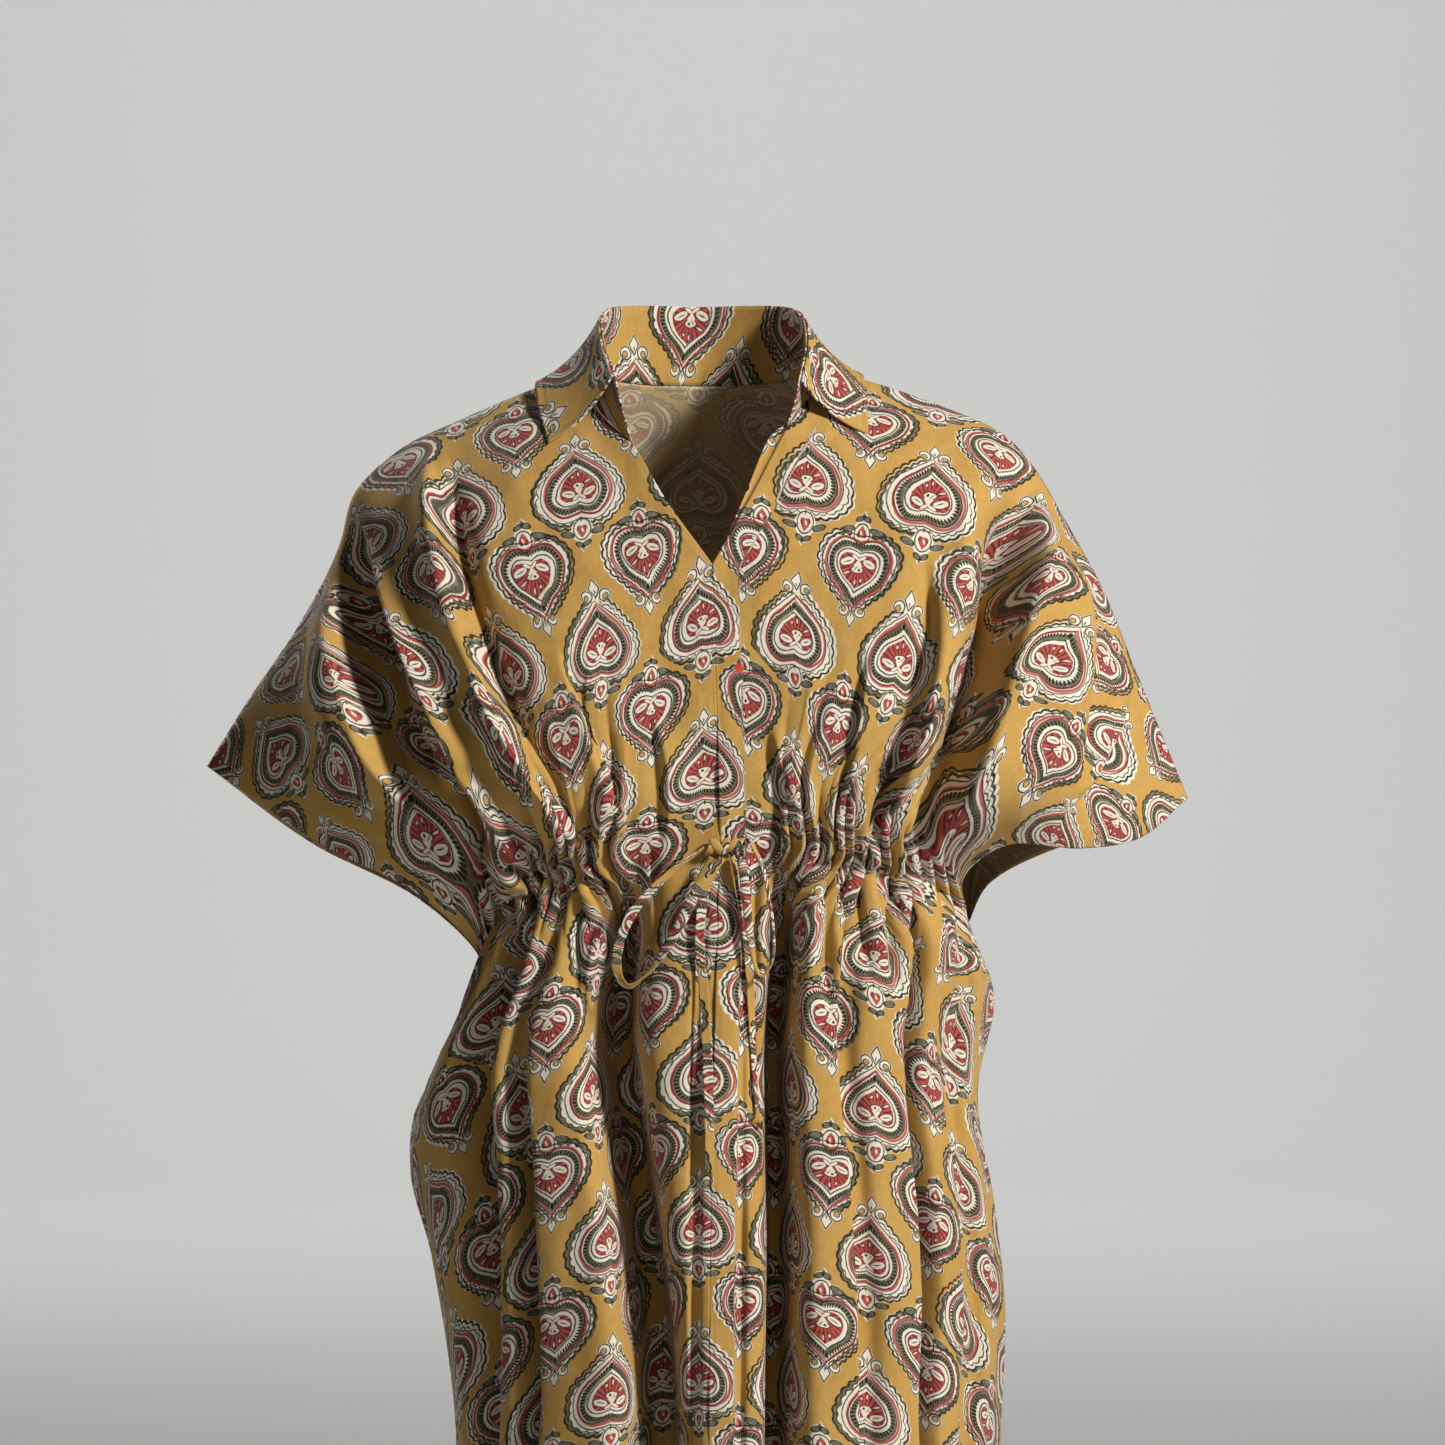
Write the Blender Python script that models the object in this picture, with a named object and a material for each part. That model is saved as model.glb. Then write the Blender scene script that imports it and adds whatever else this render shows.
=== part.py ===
"""A worn kaftan in block-printed cotton: two fronts, a back, a shirt collar and a drawstring at the waist.

Metres, +Z up, +X to the viewer's right, the front facing -Y. The origin lies between the
shoulders, level with the points where the neck meets the shoulder seams.
"""

from collections import namedtuple
import math

import bmesh
import bpy
from mathutils import Vector
import numpy as np

# Driving sizes: the cloth wall, the cut from shoulder to hem and from centre to sleeve tip,
# and the waist channel's place; the hem hangs a little higher because the cloth rounds the chest
WALL = 0.0012
SEAM_GAP = 0.0003
COTTON_COLOUR = (0.45, 0.27, 0.09)
LENGTH = 1.30
HALF_SPAN = 0.54
NECK_HALF = 0.075
CASING_DROP = 0.36
CASING_SHARE = 0.66
HEM_LEVEL = 0.015 - LENGTH

# Grid of each panel: columns across half the body, rows above and below the waist
COLUMNS = 38
BACK_COLUMNS = 25
BODICE_ROWS = 13
SKIRT_ROWS = 10
ROW_CROWDING = 1.3
DENSE = 321

# Height of the waist channel, whose edges fall on the rows above and below the waist
CASING_HEIGHT = 0.026
CASING_ABOVE = 1 - CASING_HEIGHT / 2 / CASING_DROP
CASING_BELOW = CASING_HEIGHT / 2 / (LENGTH - CASING_DROP)

# The V opening ends on this row, at this share of the way from the neck to the waist
V_ROW = 6
V_SHARE = CASING_ABOVE * (V_ROW / (BODICE_ROWS - 2)) ** ROW_CROWDING

# How a panel rounds forwards or backwards from the shoulder seam, and from the waist line
SHOULDER_START = 0.62
SHOULDER_ROUNDING = 2.2
WAIST_ROUNDING = 1.6
CENTRE_FLATNESS = 1.7
CENTRE_EASE = 0.06

# Where folds fade out: beyond the ends of their lines, near a panel's side, and below the shoulder
FOLD_RUN_OUT = 0.15
FOLD_FADE = 0.35
OUTER_FADE = 0.08
TOP_FADE_ROWS = 3
RECESS_WALL = 3.2

# Seams: the back's top edge beyond this share of the neck is a seam; how much of a wall's depth
# must stay in the seam's plane
SHOULDER_SEAM_START = 0.98
LEAST_KEPT = 0.4
SHARP_ANGLE = math.radians(60)
CURVE_STEPS = 200
SEAM_STEPS = 20

Place = namedtuple("Place", "share x y z")
Fold = namedtuple("Fold", "x1 z1 x2 z2 x3 z3 width depth")
Recess = namedtuple("Recess", "top middle hem width depth start")
Gather = namedtuple("Gather", "share width depth above below")

# Seam from the neck over the shoulder and down the top of the sleeve, by share of its length
SHOULDER_RIGHT = [
    Place(0.00, 0.086, 0.000, 0.000),
    Place(0.09, 0.127, 0.002, -0.010),
    Place(0.20, 0.176, 0.003, -0.027),
    Place(0.31, 0.220, 0.003, -0.047),
    Place(0.40, 0.243, 0.002, -0.072),
    Place(0.50, 0.264, 0.000, -0.108),
    Place(0.62, 0.290, 0.000, -0.155),
    Place(0.77, 0.315, 0.000, -0.216),
    Place(1.00, 0.353, 0.000, -0.309),
]
SHOULDER_LEFT = [
    Place(0.00, -0.088, 0.000, -0.003),
    Place(0.10, -0.127, 0.002, -0.018),
    Place(0.22, -0.169, 0.003, -0.036),
    Place(0.34, -0.217, 0.003, -0.060),
    Place(0.43, -0.247, 0.002, -0.090),
    Place(0.51, -0.257, 0.000, -0.125),
    Place(0.66, -0.286, 0.000, -0.183),
    Place(0.80, -0.319, 0.000, -0.232),
    Place(1.00, -0.353, 0.000, -0.286),
]

# Edges of the V opening, from the shoulder seams to the point of the V
NECK_RIGHT = [
    Place(0.00, 0.086, 0.000, 0.000),
    Place(0.20, 0.078, -0.034, -0.022),
    Place(0.38, 0.064, -0.058, -0.044),
    Place(0.68, 0.039, -0.080, -0.092),
    Place(1.00, 0.011, -0.099, -0.142),
]
NECK_LEFT = [
    Place(0.00, -0.088, 0.000, -0.003),
    Place(0.20, -0.072, -0.034, -0.030),
    Place(0.42, -0.046, -0.060, -0.057),
    Place(0.70, -0.021, -0.082, -0.098),
    Place(1.00, 0.011, -0.099, -0.142),
]

# Seam down the centre front, from the point of the V to the waist
CENTRE_FRONT = [
    Place(0.00, 0.011, -0.099, -0.142),
    Place(0.36, 0.013, -0.117, -0.215),
    Place(0.68, 0.015, -0.123, -0.280),
    Place(1.00, 0.016, -0.121, -0.337),
]

# Sleeve hems, from the tip to the underarm
FRONT_CUFF_RIGHT = [
    Place(0.00, 0.353, 0.000, -0.309),
    Place(0.24, 0.311, -0.045, -0.338),
    Place(0.40, 0.272, -0.068, -0.343),
    Place(0.60, 0.220, -0.078, -0.340),
    Place(0.78, 0.191, -0.052, -0.362),
    Place(1.00, 0.195, 0.008, -0.400),
]
FRONT_CUFF_LEFT = [
    Place(0.00, -0.353, 0.000, -0.286),
    Place(0.36, -0.268, -0.052, -0.340),
    Place(0.64, -0.195, -0.072, -0.377),
    Place(0.84, -0.158, -0.042, -0.415),
    Place(1.00, -0.149, 0.006, -0.442),
]
BACK_CUFF_RIGHT = [
    Place(0.00, 0.353, 0.000, -0.309),
    Place(0.25, 0.309, 0.048, -0.334),
    Place(0.48, 0.262, 0.074, -0.348),
    Place(0.75, 0.214, 0.062, -0.372),
    Place(1.00, 0.195, 0.008, -0.400),
]
BACK_CUFF_LEFT = [
    Place(0.00, -0.353, 0.000, -0.286),
    Place(0.36, -0.278, 0.052, -0.345),
    Place(0.64, -0.205, 0.070, -0.384),
    Place(0.84, -0.164, 0.042, -0.418),
    Place(1.00, -0.149, 0.006, -0.442),
]

# Waist line, from the centre to the underarm
FRONT_WAIST_RIGHT = [
    Place(0.00, 0.016, -0.121, -0.337),
    Place(0.35, 0.085, -0.116, -0.343),
    Place(0.60, 0.130, -0.100, -0.352),
    Place(0.75, 0.155, -0.080, -0.361),
    Place(0.90, 0.184, -0.036, -0.383),
    Place(1.00, 0.195, 0.008, -0.400),
]
FRONT_WAIST_LEFT = [
    Place(0.00, 0.016, -0.121, -0.337),
    Place(0.38, -0.060, -0.117, -0.342),
    Place(0.62, -0.100, -0.101, -0.350),
    Place(0.75, -0.122, -0.082, -0.362),
    Place(0.90, -0.148, -0.036, -0.408),
    Place(1.00, -0.149, 0.006, -0.442),
]
BACK_WAIST_RIGHT = [
    Place(0.00, 0.000, 0.118, -0.352),
    Place(0.45, 0.090, 0.112, -0.356),
    Place(0.75, 0.160, 0.078, -0.376),
    Place(0.92, 0.193, 0.034, -0.394),
    Place(1.00, 0.195, 0.008, -0.400),
]
BACK_WAIST_LEFT = [
    Place(0.00, 0.000, 0.118, -0.352),
    Place(0.45, -0.085, 0.110, -0.358),
    Place(0.75, -0.140, 0.074, -0.392),
    Place(0.92, -0.156, 0.032, -0.430),
    Place(1.00, -0.149, 0.006, -0.442),
]

# Back neck edge and shoulder seam, from the centre back to the sleeve tip
BACK_NECK_SHARE = NECK_HALF / HALF_SPAN
BACK_NECK = [
    Place(0.00, 0.000, 0.062, -0.010),
    Place(0.36, 0.042, 0.053, -0.009),
    Place(0.72, 0.074, 0.029, -0.005),
    Place(1.00, 0.086, 0.000, 0.000),
]
CENTRE_BACK = [
    Place(0.00, 0.000, 0.062, -0.010),
    Place(0.28, 0.000, 0.094, -0.095),
    Place(0.60, 0.000, 0.114, -0.210),
    Place(1.00, 0.000, 0.118, -0.352),
]

# Side seams, from the underarm down to the hem
SIDE_RIGHT = [
    Place(0.00, 0.195, 0.008, -0.400),
    Place(0.07, 0.214, 0.006, -0.453),
    Place(0.14, 0.202, 0.006, -0.518),
    Place(0.23, 0.214, 0.008, -0.600),
    Place(0.31, 0.222, 0.010, -0.672),
    Place(0.42, 0.219, 0.010, -0.773),
    Place(0.70, 0.226, 0.012, -1.020),
    Place(1.00, 0.236, 0.014, HEM_LEVEL),
]
SIDE_LEFT = [
    Place(0.00, -0.149, 0.006, -0.442),
    Place(0.07, -0.178, 0.006, -0.500),
    Place(0.15, -0.207, 0.008, -0.566),
    Place(0.24, -0.192, 0.010, -0.640),
    Place(0.38, -0.175, 0.010, -0.760),
    Place(0.60, -0.186, 0.012, -0.950),
    Place(1.00, -0.214, 0.014, HEM_LEVEL),
]
CENTRE_FRONT_SKIRT = [
    Place(0.00, 0.016, -0.121, -0.337),
    Place(0.25, 0.010, -0.136, -0.570),
    Place(0.50, 0.008, -0.145, -0.800),
    Place(1.00, 0.006, -0.152, HEM_LEVEL),
]
CENTRE_BACK_SKIRT = [
    Place(0.00, 0.000, 0.118, -0.352),
    Place(0.25, 0.000, 0.128, -0.570),
    Place(0.50, 0.000, 0.134, -0.800),
    Place(1.00, 0.000, 0.142, HEM_LEVEL),
]
FRONT_HEM_RIGHT = [
    Place(0.00, 0.006, -0.152, HEM_LEVEL),
    Place(0.40, 0.112, -0.134, HEM_LEVEL),
    Place(0.75, 0.198, -0.078, HEM_LEVEL),
    Place(1.00, 0.236, 0.014, HEM_LEVEL),
]
FRONT_HEM_LEFT = [
    Place(0.00, 0.006, -0.152, HEM_LEVEL),
    Place(0.40, -0.098, -0.134, HEM_LEVEL),
    Place(0.75, -0.178, -0.078, HEM_LEVEL),
    Place(1.00, -0.214, 0.014, HEM_LEVEL),
]
BACK_HEM_RIGHT = [
    Place(0.00, 0.000, 0.142, HEM_LEVEL),
    Place(0.40, 0.108, 0.128, HEM_LEVEL),
    Place(0.75, 0.196, 0.084, HEM_LEVEL),
    Place(1.00, 0.236, 0.014, HEM_LEVEL),
]
BACK_HEM_LEFT = [
    Place(0.00, 0.000, 0.142, HEM_LEVEL),
    Place(0.40, -0.100, 0.128, HEM_LEVEL),
    Place(0.75, -0.180, 0.084, HEM_LEVEL),
    Place(1.00, -0.214, 0.014, HEM_LEVEL),
]

# Drag folds of the bodice and sleeves, each through three points seen from the front
BODICE_FOLDS = [
    Fold(-0.188, -0.060, -0.172, -0.175, -0.108, -0.300, 0.011, 0.010),
    Fold(-0.176, -0.075, -0.154, -0.190, -0.096, -0.300, 0.009, -0.009),
    Fold(-0.252, -0.125, -0.240, -0.200, -0.195, -0.290, 0.012, -0.013),
    Fold(-0.262, -0.140, -0.262, -0.215, -0.222, -0.305, 0.016, 0.010),
    Fold(-0.232, -0.130, -0.208, -0.205, -0.165, -0.285, 0.012, 0.008),
    Fold(-0.163, -0.300, -0.150, -0.335, -0.143, -0.372, 0.010, -0.014),
    Fold(-0.126, -0.255, -0.108, -0.300, -0.094, -0.340, 0.009, 0.006),
    Fold(0.240, -0.085, 0.232, -0.165, 0.176, -0.320, 0.013, -0.017),
    Fold(0.262, -0.125, 0.262, -0.200, 0.222, -0.318, 0.018, 0.011),
    Fold(0.194, -0.095, 0.184, -0.150, 0.150, -0.300, 0.011, 0.008),
    Fold(0.164, -0.200, 0.142, -0.270, 0.124, -0.335, 0.010, -0.007),
    Fold(0.300, -0.215, 0.296, -0.270, 0.282, -0.335, 0.015, -0.008),
]
BACK_BODICE_FOLDS = [
    Fold(-0.196, -0.070, -0.184, -0.180, -0.150, -0.320, 0.014, 0.009),
    Fold(-0.244, -0.115, -0.236, -0.205, -0.196, -0.310, 0.014, -0.012),
    Fold(-0.110, -0.060, -0.104, -0.180, -0.090, -0.330, 0.018, -0.006),
    Fold(0.110, -0.060, 0.106, -0.180, 0.092, -0.330, 0.018, -0.006),
    Fold(0.198, -0.070, 0.190, -0.180, 0.158, -0.320, 0.014, 0.009),
    Fold(0.246, -0.110, 0.240, -0.200, 0.206, -0.310, 0.014, -0.012),
]

# Hanging folds of the skirt: hollows between the tubes, as signed shares of the way from the
# centre to the side seam, at the waist, half way down and at the hem
FRONT_RECESSES = [
    Recess(-0.80, -0.82, -0.78, 0.016, 0.030, 0.10),
    Recess(-0.52, -0.53, -0.50, 0.012, 0.014, 0.06),
    Recess(-0.25, -0.17, -0.14, 0.018, 0.042, 0.05),
    Recess(0.17, 0.22, 0.23, 0.015, 0.038, 0.09),
    Recess(0.40, 0.43, 0.46, 0.012, 0.014, 0.12),
    Recess(0.71, 0.67, 0.69, 0.014, 0.036, 0.10),
]
BACK_RECESSES = [
    Recess(-0.66, -0.66, -0.64, 0.017, 0.034, 0.10),
    Recess(-0.36, -0.35, -0.34, 0.015, 0.028, 0.16),
    Recess(-0.05, -0.04, -0.03, 0.018, 0.036, 0.05),
    Recess(0.27, 0.29, 0.30, 0.015, 0.030, 0.12),
    Recess(0.60, 0.62, 0.64, 0.017, 0.036, 0.08),
]
RECESS_SPAN = 0.26

# Gathers held by the drawstring, by signed share of the waist line, with their reach both ways
FRONT_GATHERS = [
    Gather(-0.71, 0.022, 0.0036, 0.070, 0.090),
    Gather(-0.62, 0.022, 0.0044, 0.110, 0.070),
    Gather(-0.53, 0.022, 0.0048, 0.080, 0.090),
    Gather(-0.44, 0.022, 0.0048, 0.120, 0.120),
    Gather(-0.35, 0.022, 0.0044, 0.090, 0.080),
    Gather(-0.25, 0.024, 0.0034, 0.070, 0.120),
    Gather(-0.14, 0.026, 0.0026, 0.050, 0.090),
    Gather(0.16, 0.028, 0.0028, 0.050, 0.080),
    Gather(0.27, 0.024, 0.0036, 0.060, 0.110),
    Gather(0.37, 0.022, 0.0046, 0.100, 0.090),
    Gather(0.46, 0.022, 0.0048, 0.070, 0.130),
    Gather(0.55, 0.022, 0.0048, 0.120, 0.080),
    Gather(0.64, 0.022, 0.0042, 0.080, 0.100),
    Gather(0.73, 0.022, 0.0034, 0.060, 0.070),
]

# Collar: the fold line and the leaf's outer edge, from the right front round the back to the left
COLLAR_FOLD = [
    Place(0.00, 0.073, -0.051, -0.011),
    Place(0.12, 0.078, -0.026, 0.016),
    Place(0.27, 0.073, 0.012, 0.041),
    Place(0.40, 0.050, 0.048, 0.048),
    Place(0.50, 0.002, 0.064, 0.048),
    Place(0.60, -0.047, 0.048, 0.048),
    Place(0.73, -0.067, 0.012, 0.041),
    Place(0.88, -0.067, -0.026, 0.018),
    Place(1.00, -0.059, -0.050, -0.007),
]
COLLAR_EDGE = [
    Place(0.00, 0.122, -0.0505, -0.048),
    Place(0.06, 0.122, -0.0385, -0.033),
    Place(0.12, 0.121, -0.0215, -0.018),
    Place(0.25, 0.114, 0.004, -0.003),
    Place(0.38, 0.080, 0.047, -0.011),
    Place(0.50, 0.002, 0.073, -0.010),
    Place(0.62, -0.078, 0.047, -0.012),
    Place(0.75, -0.112, 0.004, -0.008),
    Place(0.88, -0.115, -0.0190, -0.024),
    Place(1.00, -0.107, -0.0470, -0.054),
]
STAND_END_RIGHT = 0.38
STAND_END_LEFT = 0.42
NECK_AXIS = (0.0, 0.0, 0.0)
COLLAR_COLUMNS = 33
STAND_ROWS = 4
LEAF_ROWS = 6
LEAF_RISE = 0.5
LEAF_TURN = (0.40, 0.45, 0.72)
COLLAR_GAP = 0.0005

# Strips sewn inside: the V opening's turned edge and the drawstring's channel
FACING_WALL = 0.001
FACING_FIRST_ROW = 1
FACING_COLUMNS = 2
CASING_GAP = 0.0009

# Drawstring of the same cloth, tied in a bow; routes are chosen by hand
CORD_RADIUS = 0.003
CORD_STEP = 0.013
CORD_LEAST_POINTS = 6
CORD_ROUNDNESS = 2
KNOT_CENTRE = (0.021, -0.1267, -0.339)
KNOT_SIZE = (0.030, 0.011, 0.012)
KNOT_TURN = math.radians(-6)
KNOT_SEGMENTS = 16
KNOT_RINGS = 10
KNOT_PINCH = 0.22
KNOT_GROOVE = 0.12
END_KNOT_CENTRE = (0.0422, -0.118, -0.5316)
END_KNOT_SIZE = (0.009, 0.008, 0.010)
CORD_ROUTES = {
    "drawstring_loop_left": [
        (0.0052, -0.1268, -0.3403), (-0.018, -0.129, -0.357), (-0.045, -0.128, -0.386),
        (-0.056, -0.124, -0.418), (-0.049, -0.122, -0.437), (-0.033, -0.124, -0.426),
        (-0.012, -0.1325, -0.394), (0.0105, -0.1325, -0.3468),
    ],
    "drawstring_loop_right": [
        (0.0382, -0.1266, -0.3380), (0.046, -0.128, -0.355), (0.0525, -0.128, -0.390),
        (0.053, -0.127, -0.418), (0.044, -0.128, -0.429), (0.038, -0.131, -0.404),
        (0.0315, -0.1325, -0.3466),
    ],
    "drawstring_tail_left": [
        (0.0175, -0.1255, -0.3470), (0.007, -0.1265, -0.366), (0.002, -0.128, -0.400),
        (0.005, -0.131, -0.440), (0.008, -0.135, -0.500), (0.009, -0.139, -0.566),
    ],
    "drawstring_tail_right": [
        (0.0245, -0.1255, -0.3468), (0.029, -0.1255, -0.370), (0.034, -0.1215, -0.400),
        (0.037, -0.1182, -0.430), (0.039, -0.118, -0.480), (0.042, -0.118, -0.526),
    ],
}


def clear_scene():
    for obj in list(bpy.data.objects):
        bpy.data.objects.remove(obj, do_unlink=True)


def cotton(name, colour):
    """A matt printed cotton in its mean colour."""
    material = bpy.data.materials.new(name)
    material.use_nodes = True
    shader = material.node_tree.nodes["Principled BSDF"]
    shader.inputs["Base Color"].default_value = (*colour, 1.0)
    shader.inputs["Roughness"].default_value = 0.85
    shader.inputs["Metallic"].default_value = 0.0
    material.diffuse_color = (*colour, 1.0)
    return material


def smooth_step(value):
    value = np.clip(value, 0.0, 1.0)
    return value * value * (3.0 - 2.0 * value)


def spline(places, shares):
    """Points at the given shares of a smooth curve through the places (cubic, with even tangents)."""
    knots = np.array([place.share for place in places])
    points = np.array([[place.x, place.y, place.z] for place in places])
    slopes = np.gradient(points, knots, axis=0)
    cell = np.clip(np.searchsorted(knots, shares, side="right") - 1, 0, len(knots) - 2)
    span = (knots[cell + 1] - knots[cell])[:, None]
    t = ((shares - knots[cell])[:, None]) / span
    return (
        (2 * t**3 - 3 * t**2 + 1) * points[cell]
        + (t**3 - 2 * t**2 + t) * span * slopes[cell]
        + (3 * t**2 - 2 * t**3) * points[cell + 1]
        + (t**3 - t**2) * span * slopes[cell + 1]
    )


def patch(top, bottom, inner, outer, across, down, start, rounding):
    """A surface through four edge curves, as points[row, column].

    Depth leaves the top edge faster than height does, which rounds a shoulder, and it stays
    level across the centre.
    """
    v = down[:, None, None]
    depth_fall = 1.0 - (1.0 - v**start) ** rounding
    fall = np.concatenate([v, depth_fall, v], axis=2)
    u = across[None, :, None]
    u = np.concatenate([u, u**CENTRE_FLATNESS, u], axis=2)
    corners = (1 - u) * (1 - fall) * top[0] + u * (1 - fall) * top[-1]
    corners = corners + (1 - u) * fall * bottom[0] + u * fall * bottom[-1]
    blend = (1 - fall) * top[None] + fall * bottom[None]
    return blend + (1 - u) * inner[:, None] + u * outer[:, None] - corners


def normals_of(points, facing):
    """Unit normals of a grid of points, turned to the garment's outside (facing -1 front, 1 back)."""
    along = np.gradient(points, axis=1)
    downward = np.gradient(points, axis=0)
    normal = np.cross(along, downward)
    normal /= np.maximum(np.linalg.norm(normal, axis=2, keepdims=True), 1e-12)
    middle = normal[normal.shape[0] // 2, normal.shape[1] // 2]
    return normal if middle[1] * facing > 0 else -normal


def fold_push(points, folds):
    """How far the drag folds push a bodice point out, from its place seen from the front."""
    x = points[..., 0]
    z = points[..., 2]
    push = np.zeros_like(x)
    for fold in folds:
        reach = np.clip((fold.z1 - z) / (fold.z1 - fold.z3), -FOLD_RUN_OUT, 1 + FOLD_RUN_OUT)
        bend = (fold.z1 - fold.z2) / (fold.z1 - fold.z3)
        straight = fold.x1 + (fold.x3 - fold.x1) * reach
        bow = fold.x2 - (fold.x1 + (fold.x3 - fold.x1) * bend)
        centre = straight + bow * reach * (1 - reach) / (bend * (1 - bend))
        starting = smooth_step((reach + FOLD_RUN_OUT) / FOLD_FADE)
        ending = smooth_step((1 + FOLD_RUN_OUT - reach) / FOLD_FADE)
        push += fold.depth * starting * ending * np.exp(-(((x - centre) / fold.width) ** 2))
    return push


def recess_push(shares, recesses, down):
    """How far the hollows between the skirt's tubes pull a point in."""
    push = np.zeros((len(down), len(shares)))
    lower = 2 * down[:, None]
    for recess in recesses:
        centre = np.where(
            lower < 1,
            recess.top + (recess.middle - recess.top) * smooth_step(lower),
            recess.middle + (recess.hem - recess.middle) * (lower - 1),
        )
        grown = smooth_step(down[:, None] / recess.start)
        off = (shares[None, :] - centre) * RECESS_SPAN / recess.width
        push -= recess.depth * grown / (1 + np.abs(off) ** RECESS_WALL)
    return push


def gather_push(shares, distance, gathers):
    """Ridges held at the waist line; distance is positive below it."""
    push = np.zeros((len(distance), len(shares)))
    for gather in gathers:
        reach = np.where(distance < 0, gather.above, gather.below)
        fade = np.exp(-((distance / reach) ** 2))
        off = np.clip((shares - gather.share) * RECESS_SPAN / gather.width, -0.5, 0.5)
        push += gather.depth * fade[:, None] * (0.5 + 0.5 * np.cos(2 * np.pi * off))[None, :]
    return push


def resample(points, columns):
    """Each row's points spread evenly along the row, so a column keeps its place in the cloth."""
    rows = []
    for row in points:
        steps = np.linalg.norm(np.diff(row, axis=0), axis=1)
        arc = np.concatenate([[0.0], np.cumsum(steps)])
        wanted = np.linspace(0.0, arc[-1], columns)
        rows.append(np.stack([np.interp(wanted, arc, row[:, axis]) for axis in range(3)], axis=1))
    return np.array(rows)


def half_panel(edges, folds, recesses, gathers, side, facing, columns):
    """One half of the front or back, from its centre to its side, as points[row, column]."""
    across = np.linspace(0.0, 1.0, DENSE)
    upper = np.append(CASING_ABOVE * np.linspace(0.0, 1.0, BODICE_ROWS - 1) ** ROW_CROWDING, 1.0)
    below = np.linspace(0.0, 1.0, SKIRT_ROWS - 1) ** ROW_CROWDING
    lower = np.append(0.0, CASING_BELOW + (1.0 - CASING_BELOW) * below)
    waist = spline(edges["waist"], across)
    bodice = patch(
        edges["shoulder"](across), waist, edges["inner"](upper), spline(edges["cuff"], upper),
        across, upper, SHOULDER_START, SHOULDER_ROUNDING,
    )
    skirt = patch(
        waist, spline(edges["hem"], across), spline(edges["centre"], lower),
        spline(edges["side"], lower), across, lower, 1.0, WAIST_ROUNDING,
    )
    base = np.concatenate([bodice, skirt[1:]])
    down = np.concatenate([np.zeros(BODICE_ROWS), lower[1:]])
    drop = np.concatenate([(upper - 1.0) * CASING_DROP, lower[1:] * (LENGTH - CASING_DROP)])
    push = recess_push(side * across, recesses, down)
    push[:BODICE_ROWS] += fold_push(bodice, folds)
    push += gather_push(side * across, drop, gathers)
    outer_fade = smooth_step((1.0 - across) / OUTER_FADE)
    top_fade = smooth_step(np.arange(len(base)) / TOP_FADE_ROWS)
    push *= outer_fade[None, :] * top_fade[:, None]
    normal = normals_of(base, facing)
    normal[..., 0] *= smooth_step(across / CENTRE_EASE)
    points = base + normal * push[..., None]
    return resample(points, columns)


def smooth_curve(places):
    return lambda shares: spline(places, shares)


def back_neck_places(side):
    """The back neck edge on one side, ending where that side's shoulder seam starts."""
    end = SHOULDER_RIGHT[0] if side > 0 else SHOULDER_LEFT[0]
    places = [Place(p.share, side * p.x, p.y, p.z) for p in BACK_NECK[:-1]]
    return places + [Place(1.0, end.x, end.y, end.z)]


def back_top_curve(side, places):
    """The back's top edge: the neck edge from the centre, then the shoulder seam."""
    neck = back_neck_places(side)

    def curve(shares):
        at_neck = spline(neck, np.clip(shares / BACK_NECK_SHARE, 0.0, 1.0))
        beyond = np.clip((shares - BACK_NECK_SHARE) / (1.0 - BACK_NECK_SHARE), 0.0, 1.0)
        at_shoulder = spline(places, beyond)
        return np.where((shares < BACK_NECK_SHARE)[:, None], at_neck, at_shoulder)

    return curve


def neck_and_centre(places):
    """A front's inner edge: the V opening's edge, then the centre front seam."""

    def curve(shares):
        at_neck = spline(places, np.clip(shares / V_SHARE, 0.0, 1.0))
        below = spline(CENTRE_FRONT, np.clip((shares - V_SHARE) / (1.0 - V_SHARE), 0.0, 1.0))
        return np.where((shares < V_SHARE)[:, None], at_neck, below)

    return curve


def front_half(side):
    right = side > 0
    edges = {
        "shoulder": smooth_curve(SHOULDER_RIGHT if right else SHOULDER_LEFT),
        "inner": neck_and_centre(NECK_RIGHT if right else NECK_LEFT),
        "cuff": FRONT_CUFF_RIGHT if right else FRONT_CUFF_LEFT,
        "waist": FRONT_WAIST_RIGHT if right else FRONT_WAIST_LEFT,
        "hem": FRONT_HEM_RIGHT if right else FRONT_HEM_LEFT,
        "centre": CENTRE_FRONT_SKIRT,
        "side": SIDE_RIGHT if right else SIDE_LEFT,
    }
    return half_panel(edges, BODICE_FOLDS, FRONT_RECESSES, FRONT_GATHERS, side, -1, COLUMNS)


def back_half(side):
    right = side > 0
    places = SHOULDER_RIGHT if right else SHOULDER_LEFT
    edges = {
        "shoulder": back_top_curve(side, places),
        "inner": smooth_curve(CENTRE_BACK),
        "cuff": BACK_CUFF_RIGHT if right else BACK_CUFF_LEFT,
        "waist": BACK_WAIST_RIGHT if right else BACK_WAIST_LEFT,
        "hem": BACK_HEM_RIGHT if right else BACK_HEM_LEFT,
        "centre": CENTRE_BACK_SKIRT,
        "side": SIDE_RIGHT if right else SIDE_LEFT,
    }
    points = half_panel(edges, BACK_BODICE_FOLDS, BACK_RECESSES, [], side, 1, BACK_COLUMNS)
    neck = np.array(places[0][1:])
    corner = np.argmin(np.linalg.norm(points[0] - neck, axis=1))
    points[0, corner] = neck
    return points


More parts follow.
